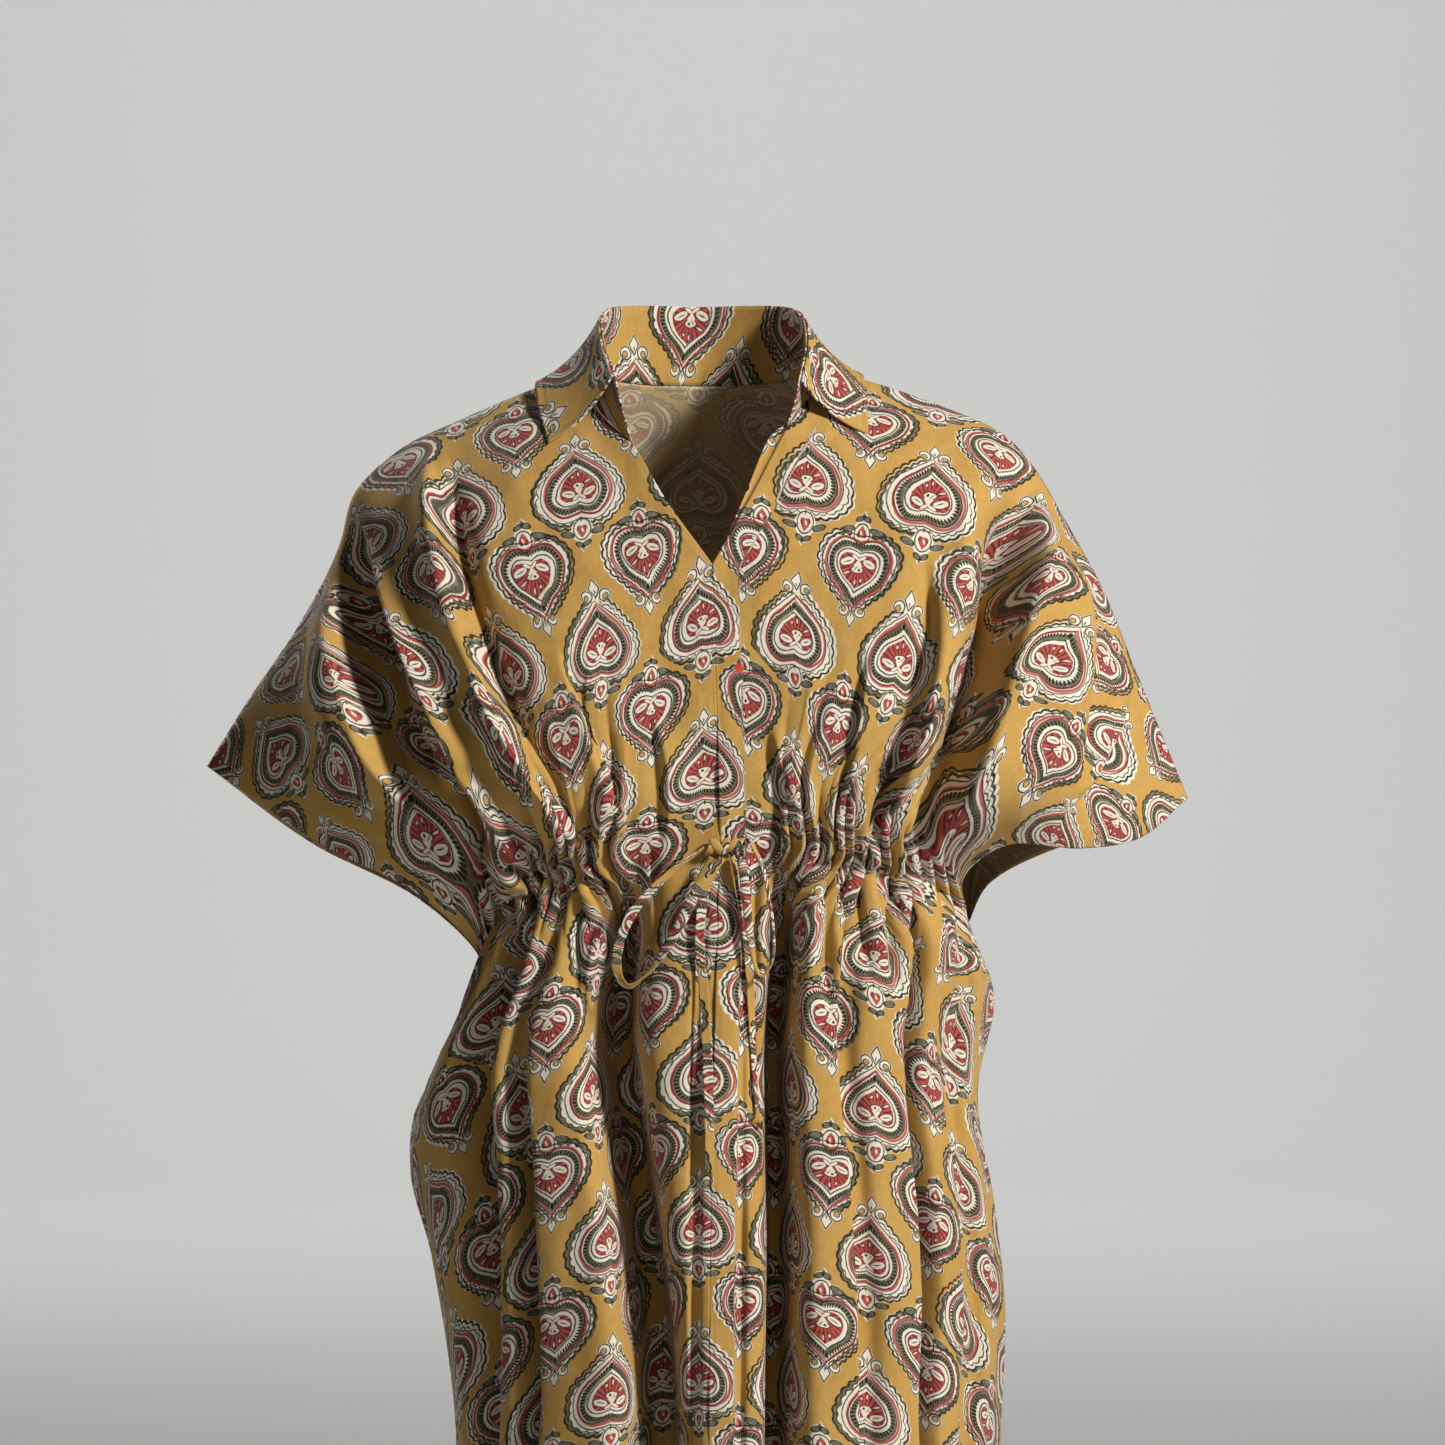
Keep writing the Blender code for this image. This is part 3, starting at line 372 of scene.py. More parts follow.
# Collar: the fold line and the leaf's outer edge, from the right front round the back to the left
COLLAR_FOLD = [
    Place(0.00, 0.073, -0.051, -0.011),
    Place(0.12, 0.078, -0.026, 0.016),
    Place(0.27, 0.073, 0.012, 0.041),
    Place(0.40, 0.050, 0.048, 0.048),
    Place(0.50, 0.002, 0.064, 0.048),
    Place(0.60, -0.047, 0.048, 0.048),
    Place(0.73, -0.067, 0.012, 0.041),
    Place(0.88, -0.067, -0.026, 0.018),
    Place(1.00, -0.059, -0.050, -0.007),
]
COLLAR_EDGE = [
    Place(0.00, 0.122, -0.0505, -0.048),
    Place(0.06, 0.122, -0.0385, -0.033),
    Place(0.12, 0.121, -0.0215, -0.018),
    Place(0.25, 0.114, 0.004, -0.003),
    Place(0.38, 0.080, 0.047, -0.011),
    Place(0.50, 0.002, 0.073, -0.010),
    Place(0.62, -0.078, 0.047, -0.012),
    Place(0.75, -0.112, 0.004, -0.008),
    Place(0.88, -0.115, -0.0190, -0.024),
    Place(1.00, -0.107, -0.0470, -0.054),
]

# Shares of the V's edges where the stand ends, and of the way from fold to edge, along x, y and z,
# where the leaf turns down
STAND_END = {RIGHT: 0.38, LEFT: 0.42}
LEAF_TURN = (0.40, 0.45, 0.72)

# Drawstring of the same cloth, tied in a bow, along the routes listed
KNOT_CENTRE = (0.021, -0.1267, -0.339)
KNOT_TURN = -6
END_KNOT_CENTRE = (0.0422, -0.118, -0.5316)
CORD_ROUTES = {
    "drawstring_loop_left": [
        (0.0052, -0.1268, -0.3403), (-0.018, -0.129, -0.357), (-0.045, -0.128, -0.386),
        (-0.056, -0.124, -0.418), (-0.049, -0.122, -0.437), (-0.033, -0.124, -0.426),
        (-0.012, -0.1325, -0.394), (0.0105, -0.1325, -0.3468),
    ],
    "drawstring_loop_right": [
        (0.0382, -0.1266, -0.3380), (0.046, -0.128, -0.355), (0.0525, -0.128, -0.390),
        (0.053, -0.127, -0.418), (0.044, -0.128, -0.429), (0.038, -0.131, -0.404),
        (0.0315, -0.1325, -0.3466),
    ],
    "drawstring_tail_left": [
        (0.0175, -0.1255, -0.3470), (0.007, -0.1265, -0.366), (0.002, -0.128, -0.400),
        (0.005, -0.131, -0.440), (0.008, -0.135, -0.500), (0.009, -0.139, -0.566),
    ],
    "drawstring_tail_right": [
        (0.0245, -0.1255, -0.3468), (0.029, -0.1255, -0.370), (0.034, -0.1215, -0.400),
        (0.037, -0.1182, -0.430), (0.039, -0.118, -0.480), (0.042, -0.118, -0.526),
    ],
}

# The cloth's thickness, and the grids of the sheets: a front's columns and those of half the back,
# the steps down the bodice and down the skirt, which crowd towards the waist, the points across a
# row before it is gathered, and the collar's steps
CLOTH = 0.0009
PANEL_COLUMNS = 272
BACK_PANEL_COLUMNS = 136
BODICE_STEPS = 114
SKIRT_STEPS = 66
SKIRT_CROWDING = 1.25
DENSE = 1201
LEAF_STEPS = 34
COLLAR_STEPS = 150

# The flat cut: how far the waist line lies below the shoulder at the side, and how sharply it rises
# towards there
SIDE_CUT_DROP = 0.285
SIDE_RISE = 2.2

# The print at the centre seam: how far right of a column of upright motifs the seam lies, how far
# from it a narrow pleat lies on the right front, and the cloth that the pleat takes up
SEAM_PLACE = 0.010
PLEAT_PLACE = 0.0185
PLEAT_TAKES = 0.0115

# The bodice laid flat, on a coarse grid: how far down the cloth its take-up by folds is evened
# out, how the cloth's width leans down a sleeve beyond the armhole, how little its steps down are
# trusted near the gathers, and how firmly the known edges are held
TAKE_UP_REACH = 0.022
SLEEVE_LEAN = math.radians(34)
ARMHOLE = 0.15
ARMHOLE_FADE = 0.12
GATHERS_CLEAR = 0.14
GATHERS_TRUST = 0.1
HELD_FAST = 1000.0
FLAT_ROWS = 39
FLAT_COLUMNS = 37

# Gathers held by the drawstring: shares of a front's cloth where they start and end, how full
# the waist is, how far they reach up and down, how many folds, and what makes them uneven
Zone = namedtuple("Zone", "start end fullness above below folds uneven")
ZONES = {
    RIGHT: Zone(0.10, 0.73, 1.72, 0.095, 0.060, 16.0, ((0.012, 2.3, 1.1), (0.007, 5.1, 0.4))),
    LEFT: Zone(0.13, 0.73, 1.72, 0.100, 0.060, 15.0, ((0.011, 2.1, 0.3), (0.008, 4.7, 2.1))),
}
ZONE_EDGE = 0.05
ZONE_REST = 0.12
GATHER_FALL = 1.7
GATHER_MOST = 0.0085
GATHER_VARIETY = 0.40
GATHER_DROP = 1.5
GATHER_TIGHTNESS = 0.8
GATHER_STARTS = 0.03
GATHER_ENDS = 0.06

# Search for how strongly a row is gathered, and a length that counts as none
STRENGTH_MOST = 40.0
HALVINGS = 40
NO_LENGTH = 1e-12

# How sharply a fold falls away from its line, rounded on a ridge and creased in a valley; how folds
# fade at their ends; the soft dents' lengths and slope; and how steep a hollow's walls are
RIDGE_SHARPNESS = 1.8
VALLEY_SHARPNESS = 1.25
STEP_SHARPNESS = 1.4
STEP_TURN = 0.0022
FOLD_RUN_OUT = 0.15
DENT_LENGTHS = (0.021, 0.033, 0.047, 0.071, 0.105)
DENT_LEAN = 0.5
DENT_STRETCH = 2.6
DENT_SLOPE = 0.011
FOLD_FADE = 0.35
RECESS_WALL = 5.5

# Rows of stitches: the hems' depths, the top stitch beside the centre seam, the collar's edge
# stitch, and a distance that means no stitches near
SLEEVE_HEM = 0.018
BOTTOM_HEM = 0.020
CENTRE_STITCH = 0.0022
COLLAR_STITCH = 0.0045
FAR = 1.0

# Print: the repeat across and down, and how far below the shoulder an upright motif sits
REPEAT_ACROSS = 0.0900
REPEAT_DOWN = 0.1075
FIRST_UPRIGHT = 0.2005

# Collar, facings and waist channel: the steps of their grids, their thickness and gaps, how the
# stand bows and the leaf ripples, and how the right front's turned edge is rolled
NECK_SEAM_STEPS = 40
STAND_STEPS = 14
STAND_BOW = 0.0012
STAND_THICK = 0.0011
LEAF_THICK = 0.0013
LEAF_RIPPLE = 0.0009
LEAF_WAVES = ((1.0, 3.1, 0.2), (0.6, 7.3, 0.0))
FOLD_PROUD = 0.0017
FACING_STEPS = 6
ROLL_WIDTH = 0.0085
ROLL_START = 0.30
ROLL_RISE = 0.16
ROLL_END = 0.60
ROLL_STEPS = 6
ROLL_DIP = 0.0012
FACING_GAP = 0.0003
FACING_THICK = 0.0007
CASING_GAP = 0.0006

# Drawstring: a flat tape of the same cotton, the steps it is made in, how softly it turns, what
# makes its width uneven, how far its edges cup and how much plumper it is where it is narrow
TAPE_WIDTH = 0.0066
TAPE_THICK = 0.0015
TAPE_RING = 14
TAPE_STEP = 0.0012
ROUTE_STEPS = 600
TURN_SOFTNESS = 6
TAPE_UNEVEN = ((0.05, 47.0), (0.04, 113.0))
TAPE_CUP = 0.35
TAPE_PLUMP = 0.6
SECTION_FLATNESS = 0.7
SEAM_JOIN = 1e-6

# How the tape turns along each stretch: share of the length, degrees from lying flat against the
# front, and part of its full width
Turn = namedtuple("Turn", "share degrees width")
TAPE_TURNS = {
    "drawstring_loop_left": [
        Turn(0.00, 70, 0.55), Turn(0.10, 38, 0.80), Turn(0.28, 12, 1.00), Turn(0.46, -6, 1.05),
        Turn(0.55, -62, 0.95), Turn(0.62, -128, 0.95), Turn(0.74, -168, 1.10), Turn(0.90, -188, 1.15),
        Turn(1.00, -150, 0.80),
    ],
    "drawstring_loop_right": [
        Turn(0.00, 55, 0.60), Turn(0.14, 62, 0.72), Turn(0.36, 74, 0.66), Turn(0.50, 84, 0.62),
        Turn(0.60, 128, 0.66), Turn(0.74, 160, 0.95), Turn(0.90, 176, 1.05), Turn(1.00, 150, 0.80),
    ],
    "drawstring_tail_left": [
        Turn(0.00, 28, 0.85), Turn(0.20, 4, 1.00), Turn(0.50, -8, 1.05), Turn(0.75, 10, 1.05),
        Turn(1.00, 22, 1.00),
    ],
    "drawstring_tail_right": [
        Turn(0.00, 64, 0.70), Turn(0.20, 40, 0.85), Turn(0.42, 15, 0.95), Turn(0.70, 34, 0.80),
        Turn(1.00, 60, 0.60),
    ],
}

# Where each stretch's print starts in the flat cut, and what its far end is
TAPE_PRINT = {
    "drawstring_loop_left": (0.012, 0.020), "drawstring_loop_right": (0.098, 0.260),
    "drawstring_tail_left": (0.055, 0.415), "drawstring_tail_right": (0.140, 0.640),
}

# Wraps of a knot: place along it, radius, tilt in degrees, width and thickness of the strand
Wrap = namedtuple("Wrap", "place radius tilt width thick")
KNOT_WRAPS = [
    Wrap(-0.0105, 0.0042, 34, 0.0056, 0.0021),
    Wrap(-0.0065, 0.0050, -30, 0.0060, 0.0022),
    Wrap(-0.0015, 0.0046, 26, 0.0052, 0.0020),
    Wrap(0.0035, 0.0038, 38, 0.0046, 0.0018),
    Wrap(0.0080, 0.0034, 42, 0.0044, 0.0018),
    Wrap(0.0118, 0.0031, 44, 0.0040, 0.0017),
]
END_KNOT_WRAPS = [
    Wrap(-0.0012, 0.0026, 38, 0.0036, 0.0018),
    Wrap(0.0014, 0.0027, -34, 0.0036, 0.0018),
]
WRAP_STEPS = 44
WRAP_RING = 12
WRAP_PRINT = (0.03, 0.07)

# Dyes of the print, as linear colours
GROUND = (0.600, 0.366, 0.100)
GROUND_DEEP = (0.450, 0.245, 0.052)
CREAM = (0.800, 0.740, 0.610)
MADDER = (0.450, 0.088, 0.068)
MADDER_DARK = (0.125, 0.012, 0.014)
OLIVE = (0.118, 0.110, 0.056)
INK = (0.016, 0.014, 0.010)
SPECK = (0.16, 0.075, 0.020)
REVERSE = (0.640, 0.520, 0.330)
STITCH = (0.62, 0.52, 0.36)
BLOT = (0.62, 0.060, 0.030)

# Outlines of the leaf-shaped motif in polar form: share of the half turn from its point to its
# notch, and the reach in parts of 50 mm. They are the madder line, the inner heart and the rim.
REACH = 50.0
MADDER_LINE = [
    (0.00, 0.556), (0.035, 0.500), (0.094, 0.448), (0.215, 0.412), (0.355, 0.448), (0.466, 0.488),
    (0.55, 0.516), (0.64, 0.522), (0.735, 0.502), (0.817, 0.463), (0.90, 0.400), (1.00, 0.345),
]
INNER_HEART = [
    (0.00, 0.280), (0.07, 0.248), (0.187, 0.232), (0.37, 0.254), (0.513, 0.286), (0.607, 0.300),
    (0.714, 0.276), (0.811, 0.222), (0.91, 0.170), (1.00, 0.138),
]
RIM = [
    (0.00, 0.660), (0.06, 0.640), (0.12, 0.605), (0.22, 0.570), (0.345, 0.596), (0.43, 0.650),
    (0.50, 0.680), (0.58, 0.716), (0.64, 0.724), (0.72, 0.680), (0.78, 0.650), (0.88, 0.570),
    (1.00, 0.530),
]

# Half waves in the half turn: the rim's scallops, the dashes and the heart's rays; then the depth
# of the scallops and the width of the band between heart and madder line, in millimetres
SCALLOPS = 14.0
DASHES = 54.0
RAYS = 21.0
SCALLOP_DEPTH = 1.5
BAND_WIDTH = 11.0

# The drawn bands and lines, by half their width in millimetres
OLIVE_BAND_HALF = 2.25
OLIVE_RIM_HALF = 1.7
MADDER_LINE_HALF = 1.05
DASHES_HALF = 1.65
OUTLINE_HALF = 0.80
INNER_LINE_HALF = 0.50
BAND_LINE_HALF = 0.58
OUTER_LINE_HALF = 0.48
BESIDE_HALF = 0.56
FLOWER_LINE_HALF = 0.34

# Where a band or line lies: shares of the way from the heart to the madder line, and millimetres
# out from the rim or from the madder line
OLIVE_BAND = 0.62
DASHES_BAND = 0.60
BAND_LINE = 0.20
OLIVE_RIM = -1.2
OUTLINE = 0.3
INNER_LINE = -3.0
OUTER_LINE = 3.0
BESIDE_LINE = -1.20

# How soft a dye's edge is, and a finely drawn one's, and how far into the white of the motif's ends
# a dye may reach, in millimetres
EDGE = 0.5
FINE_EDGE = 0.4
FINIAL_MARGIN = 0.6

# A turned motif is the smaller block: its rim, and the marks at its point and notch, sit further in
TURNED_RIM = 3.4
TURNED_POINT = 4.2
TURNED_NOTCH = 6.4

# How far each dye's block was set down from the madder's, across and down, and how much that
# varies from motif to motif, in millimetres
INK_SHIFT = (1.0, 0.3)
OLIVE_SHIFT = (0.5, 0.5)
CREAM_SHIFT = (-0.7, 0.4)
SHIFT_SPREAD = 2.2

# Marks of the motif, in millimetres from its centre with its point up. A mirrored mark is drawn at
# both sides; line is half the width of a drawn outline, and 0 fills the mark. "point" and "notch"
# marks move with those ends of the turned motif.
Mark = namedtuple("Mark", "dye shape place mirrored x y across along turn line")
MARKS = [
    Mark("resist", "lozenge", "point", False, 0.0, 38.4, 5.0, 7.4, 0, 0),
    Mark("resist", "oval", "point", False, 0.0, 31.0, 3.2, 7.5, 0, 0),
    Mark("resist", "oval", "point", True, 7.0, 33.2, 5.2, 4.6, 20, 0),
    Mark("resist", "oval", "notch", False, 0.0, -30.0, 8.2, 8.6, 0, 0),
    Mark("resist", "oval", "notch", True, 11.2, -31.6, 5.6, 2.9, 14, 0),
    Mark("resist", "oval", "notch", False, 0.6, -39.8, 5.2, 3.2, 0, 0),
    Mark("resist", "lozenge", "notch", False, -0.6, -41.2, 3.2, 4.4, 0, 0),
    Mark("ground", "oval", "point", True, 7.6, 32.4, 1.7, 1.5, 0, 0),
    Mark("olive", "oval", "notch", True, 11.6, -31.6, 4.4, 1.7, 14, 0),
    Mark("olive", "oval", "notch", True, 2.9, -39.8, 2.7, 1.3, 24, 0),
    Mark("olive", "lozenge", "notch", False, -0.2, -41.6, 1.9, 3.2, 0, 0),
    Mark("madder", "oval", "notch", True, 1.5, -29.2, 2.2, 2.6, -20, 0),
    Mark("madder", "lozenge", "notch", False, 0.0, -31.6, 3.0, 3.8, 0, 0),
    Mark("cream", "oval", "notch", False, 0.5, -29.9, 1.0, 1.9, 20, 0),
    Mark("cream", "oval", "heart", True, 8.4, -3.5, 5.3, 2.5, 20, 0),
    Mark("cream", "oval", "heart", True, 2.7, -6.7, 3.4, 1.1, -30, 0),
    Mark("cream", "lozenge", "heart", False, 0.1, -1.4, 3.4, 4.6, 0, 0),
    Mark("cream", "oval", "heart", False, 0.2, 1.1, 4.5, 2.1, 0, 0),
    Mark("cream", "oval", "heart", False, 8.2, 4.2, 2.9, 0.65, 24, 0),
    Mark("cream", "oval", "heart", False, 0.8, 9.8, 0.7, 1.9, 0, 0),
    Mark("cream", "oval", "heart", False, -3.8, 8.0, 0.8, 1.2, -20, 0),
    Mark("ink", "oval", "heart", True, 8.2, -3.4, 2.9, 0.40, 20, 0),
    Mark("ink", "oval", "heart", False, -1.0, 1.2, 1.05, 0.95, 0, 0),
    Mark("ink", "oval", "heart", False, 1.9, 0.4, 2.0, 0.30, 48, 0),
    Mark("ink", "oval", "point", False, 0.0, 35.9, 0.50, 1.50, 0, 0),
    Mark("ink", "oval", "notch", False, -0.4, -22.3, 0.60, 1.70, 0, 0),
    Mark("ink", "lozenge", "point", False, 0.0, 38.4, 4.0, 6.2, 0, 0.44),
    Mark("ink", "oval", "point", True, 7.0, 33.4, 4.3, 3.8, 20, 0.44),
    Mark("ink", "oval", "point", True, 7.5, 32.5, 2.1, 1.9, 0, 0.38),
    Mark("ink", "oval", "notch", False, 0.0, -29.4, 6.0, 7.2, 0, 0.44),
    Mark("ink", "oval", "notch", True, 11.4, -31.6, 4.9, 2.1, 14, 0.42),
    Mark("ink", "oval", "notch", True, 2.9, -39.8, 3.1, 1.7, 24, 0.42),
]

# How the cloth wavers under the blocks: the scale of a noise, and how far it shifts the print
WAVERS = ((38.0, 0.0040), (330.0, 0.0008))

# The weave, the creases of wear and the stitches, in metres
THREAD_PITCH = 0.0007
THREAD_HEIGHT = 0.00012
SLUB_SCALE = 1500.0
CRUMPLE_FINE = 60.0
CRUMPLE_BROAD = 17.0
CRUMPLE_HEIGHT = 0.0014
CREASE_HEIGHT = 0.0022
STITCH_LENGTH = 0.0034
STITCH_COVER = 0.35
STITCH_HALF = 0.00032
STITCH_GROOVE = 0.0014

# A drop of dye spilt beside the centre front, seen from the front at x and z
BLOT_PLACE = (0.0295, -0.2150)
BLOT_RADIUS = 0.0026

# Camera: the photo's frame is 1.04 m across at the shoulders, and looks level at the chest
VIEW_WIDTH = 1.0396
VIEW_CENTRE = (0.018, 0.0, -0.2545)
VIEW_DISTANCE = 4.2
VIEW_HEIGHT = 0.05
SENSOR = 36.0

# Floor and wall: how far the floor reaches each way, the wall's height, how wide the sweep between
# them is, and how far below the hem the floor lies
FLOOR_REACH = 14.0
WALL_HEIGHT = 12.0
SWEEP_WIDTH = 5.0
HEM_CLEAR = 0.12
FLOOR_COLOUR = (0.62, 0.62, 0.61, 1.0)

# Light: a little from all round, a strong lamp on the viewer's right, a weak one on the left, one
# from behind and one on the wall
ROOM_LIGHT = (0.80, 0.82, 0.86, 1.0)
ROOM_STRENGTH = 0.025
WHITE = (1.0, 1.0, 1.0)
Lamp = namedtuple("Lamp", "name place aim size power colour")
LAMPS = [
    Lamp("key", (2.5, -2.2, 1.55), (0.0, 0.0, -0.35), (0.5, 0.7), 168.0, (1.0, 0.97, 0.93)),
    Lamp("fill", (-2.6, -2.6, 0.3), (0.0, 0.0, -0.5), (2.0, 2.4), 3.0, (0.93, 0.96, 1.0)),
    Lamp("rim", (-1.4, 2.3, 1.8), (0.0, 0.0, -0.2), (1.4, 1.0), 50.0, WHITE),
    Lamp("backdrop", (0.0, 6.0, 5.5), (0.0, 13.9, 0.4), (10.0, 2.0), 720.0, WHITE),
]

# Away from the lamps the room looks pale too, to the camera alone, and gives no light: the world's
# pale backdrop, and painted light on the floor, a glow that stands in for lamplight; from how far
# out the floor glows, and up to where on the wall's side
BACKDROP_AND_FLOOR_GLOW = (0.40, 0.40, 0.40, 1.0)
FAR_FLOOR = (1.6, 6.0)
WALL_SIDE = (4.6, 2.0)


def smooth_step(value):
    """From 0 to 1 as the value does, levelling off at both ends."""
    value = np.clip(value, 0.0, 1.0)
    return value * value * (3.0 - 2.0 * value)


def unit(vectors):
    """Vectors of length 1 in the same directions."""
    return vectors / np.maximum(np.linalg.norm(vectors, axis=-1, keepdims=True), NO_LENGTH)


def running(steps):
    """Running totals of steps along the last axis, from 0."""
    return np.insert(np.cumsum(steps, axis=-1), 0, 0.0, axis=-1)


def spline(places, shares):
    """Points at the given shares of a smooth curve through the places."""
    knots = np.array([place.share for place in places])
    points = np.array([[place.x, place.y, place.z] for place in places])
    slopes = np.gradient(points, knots, axis=0)
    cell = np.clip(np.searchsorted(knots, shares, side="right") - 1, 0, len(knots) - 2)
    span = (knots[cell + 1] - knots[cell])[:, None]
    t = ((shares - knots[cell])[:, None]) / span
    return (
        (2 * t**3 - 3 * t**2 + 1) * points[cell]
        + (t**3 - 2 * t**2 + t) * span * slopes[cell]
        + (3 * t**2 - 2 * t**3) * points[cell + 1]
        + (t**3 - t**2) * span * slopes[cell + 1]
    )


def patch(top, bottom, inner, outer, across, down, start, rounding):
    """A surface through four edge curves, as points[row, column]."""
    v = down[:, None, None]
    depth_fall = 1.0 - (1.0 - v**start) ** rounding
    fall = np.concatenate([v, depth_fall, v], axis=2)
    u = across[None, :, None]
    u = np.concatenate([u, u**CENTRE_FLATNESS, u], axis=2)
    corners = (1 - u) * (1 - fall) * top[0] + u * (1 - fall) * top[-1]
    corners = corners + (1 - u) * fall * bottom[0] + u * fall * bottom[-1]
    blend = (1 - fall) * top[None] + fall * bottom[None]
    return blend + (1 - u) * inner[:, None] + u * outer[:, None] - corners


def grid_normals(points):
    """Directions square to a grid of points, not yet of length 1."""
    return np.cross(np.gradient(points, axis=1), np.gradient(points, axis=0))


def normals_of(points, facing):
    """Unit normals of a grid of points, turned to the garment's outside (facing -1 front, 1 back)."""
    normal = unit(grid_normals(points))
    middle = normal[normal.shape[0] // 2, normal.shape[1] // 2]
    return normal if middle[1] * facing > 0 else -normal


def beside_fold(points, fold):
    """How far right of a fold's line each point lies, seen from the front, and the fold's fading."""
    x = points[..., 0]
    z = points[..., 2]
    reach = np.clip((fold.z1 - z) / (fold.z1 - fold.z3), -FOLD_RUN_OUT, 1 + FOLD_RUN_OUT)
    bend = (fold.z1 - fold.z2) / (fold.z1 - fold.z3)
    straight = fold.x1 + (fold.x3 - fold.x1) * reach
    bow = fold.x2 - (fold.x1 + (fold.x3 - fold.x1) * bend)
    centre = straight + bow * reach * (1 - reach) / (bend * (1 - bend))
    starting = smooth_step((reach + FOLD_RUN_OUT) / FOLD_FADE)
    ending = smooth_step((1 + FOLD_RUN_OUT - reach) / FOLD_FADE)
    return x - centre, starting * ending


def fold_push(points, folds, steps):
    """How far folds and creased steps push each point out."""
    push = np.zeros(points.shape[:2])
    for fold in folds:
        beside, fade = beside_fold(points, fold)
        sharpness = RIDGE_SHARPNESS if fold.depth > 0 else VALLEY_SHARPNESS
        push += fold.depth * fade * np.exp(-np.abs(beside / fold.width) ** sharpness)
    for step in steps:
        beside, fade = beside_fold(points, step)
        width = np.where(beside < 0, step.left, step.right)
        near = np.exp(-np.abs(beside / width) ** STEP_SHARPNESS)
        push -= step.depth * fade * np.tanh(beside / STEP_TURN) * near
    return push


def dents(points, seed):
    """Soft uneven dents all over a panel, longer down the cloth than across it."""
    random = np.random.default_rng(seed)
    push = np.zeros(points.shape[:2])
    for length in DENT_LENGTHS:
        lean = random.uniform(-DENT_LEAN, DENT_LEAN)
        phases = random.uniform(0.0, 2 * np.pi, 2)
        across = (points[..., 0] + lean * points[..., 2]) / length
        downward = (points[..., 2] - lean * points[..., 0]) / (DENT_STRETCH * length)
        wave = np.sin(2 * np.pi * across + phases[0] + np.sin(2 * np.pi * downward + phases[1]))
        push += DENT_SLOPE * length * wave * np.cos(2 * np.pi * downward + phases[0])
    return push


def recess_push(shares, recesses, down):
    """How far the hollows between the skirt's tubes pull a point in."""
    push = np.zeros((len(down), len(shares)))
    lower = 2 * down[:, None]
    for recess in recesses:
        centre = np.where(
            lower < 1,
            recess.top + (recess.middle - recess.top) * smooth_step(lower),
            recess.middle + (recess.hem - recess.middle) * (lower - 1),
        )
        grown = smooth_step(down[:, None] / recess.start)
        beside = (shares[None, :] - centre) * RECESS_SPAN
        width = np.where(beside < 0, recess.left, recess.right)
        push -= recess.depth * grown / (1 + np.abs(beside / width) ** RECESS_WALL)
    return push


def arc_along(points):
    """Distance along each row of points, from its first point."""
    return running(np.linalg.norm(np.diff(points, axis=1), axis=2))


def at_arc(points, arc, wanted):
    """Each row's points at the wanted distances along it."""
    rows = []
    for row, along, distances in zip(points, arc, wanted):
        rows.append(np.stack([np.interp(distances, along, row[:, axis]) for axis in range(3)], axis=1))
    return np.array(rows)


def gather_zone(shares, zone):
    """Where along the waist the drawstring gathers the cloth, from 0 to 1."""
    rising = smooth_step((shares - zone.start) / ZONE_EDGE)
    falling = smooth_step((zone.end - shares) / ZONE_EDGE)
    return np.maximum(rising * falling, ZONE_REST * smooth_step((shares - zone.end) / ZONE_EDGE + 1.0))


def gather_strength(shares, zone, fullness):
    """How many times over each bit of cloth is folded up, so that a row's mean matches its fullness."""
    shape = gather_zone(shares, zone)[None, :]
    low = np.zeros((len(fullness), 1))
    high = np.full((len(fullness), 1), STRENGTH_MOST)
    wanted = 1.0 / fullness[:, None]
    for _ in range(HALVINGS):
        middle = 0.5 * (low + high)
        mean = (1.0 / (1.0 + middle * shape)).mean(axis=1, keepdims=True)
        high = np.where(mean < wanted, middle, high)
        low = np.where(mean < wanted, low, middle)
    return 1.0 + 0.5 * (low + high) * shape


def even_take_up(base, folded, drop):
    """Distance along each row of cloth, where what the folds take up changes only slowly down it."""
    plain = arc_along(base)
    taken = arc_along(folded) - plain
    near = np.exp(-(((drop[:, None] - drop[None, :]) / TAKE_UP_REACH) ** 2))
    near *= np.gradient(drop)[None, :]
    return plain + (near / near.sum(axis=1, keepdims=True)) @ taken


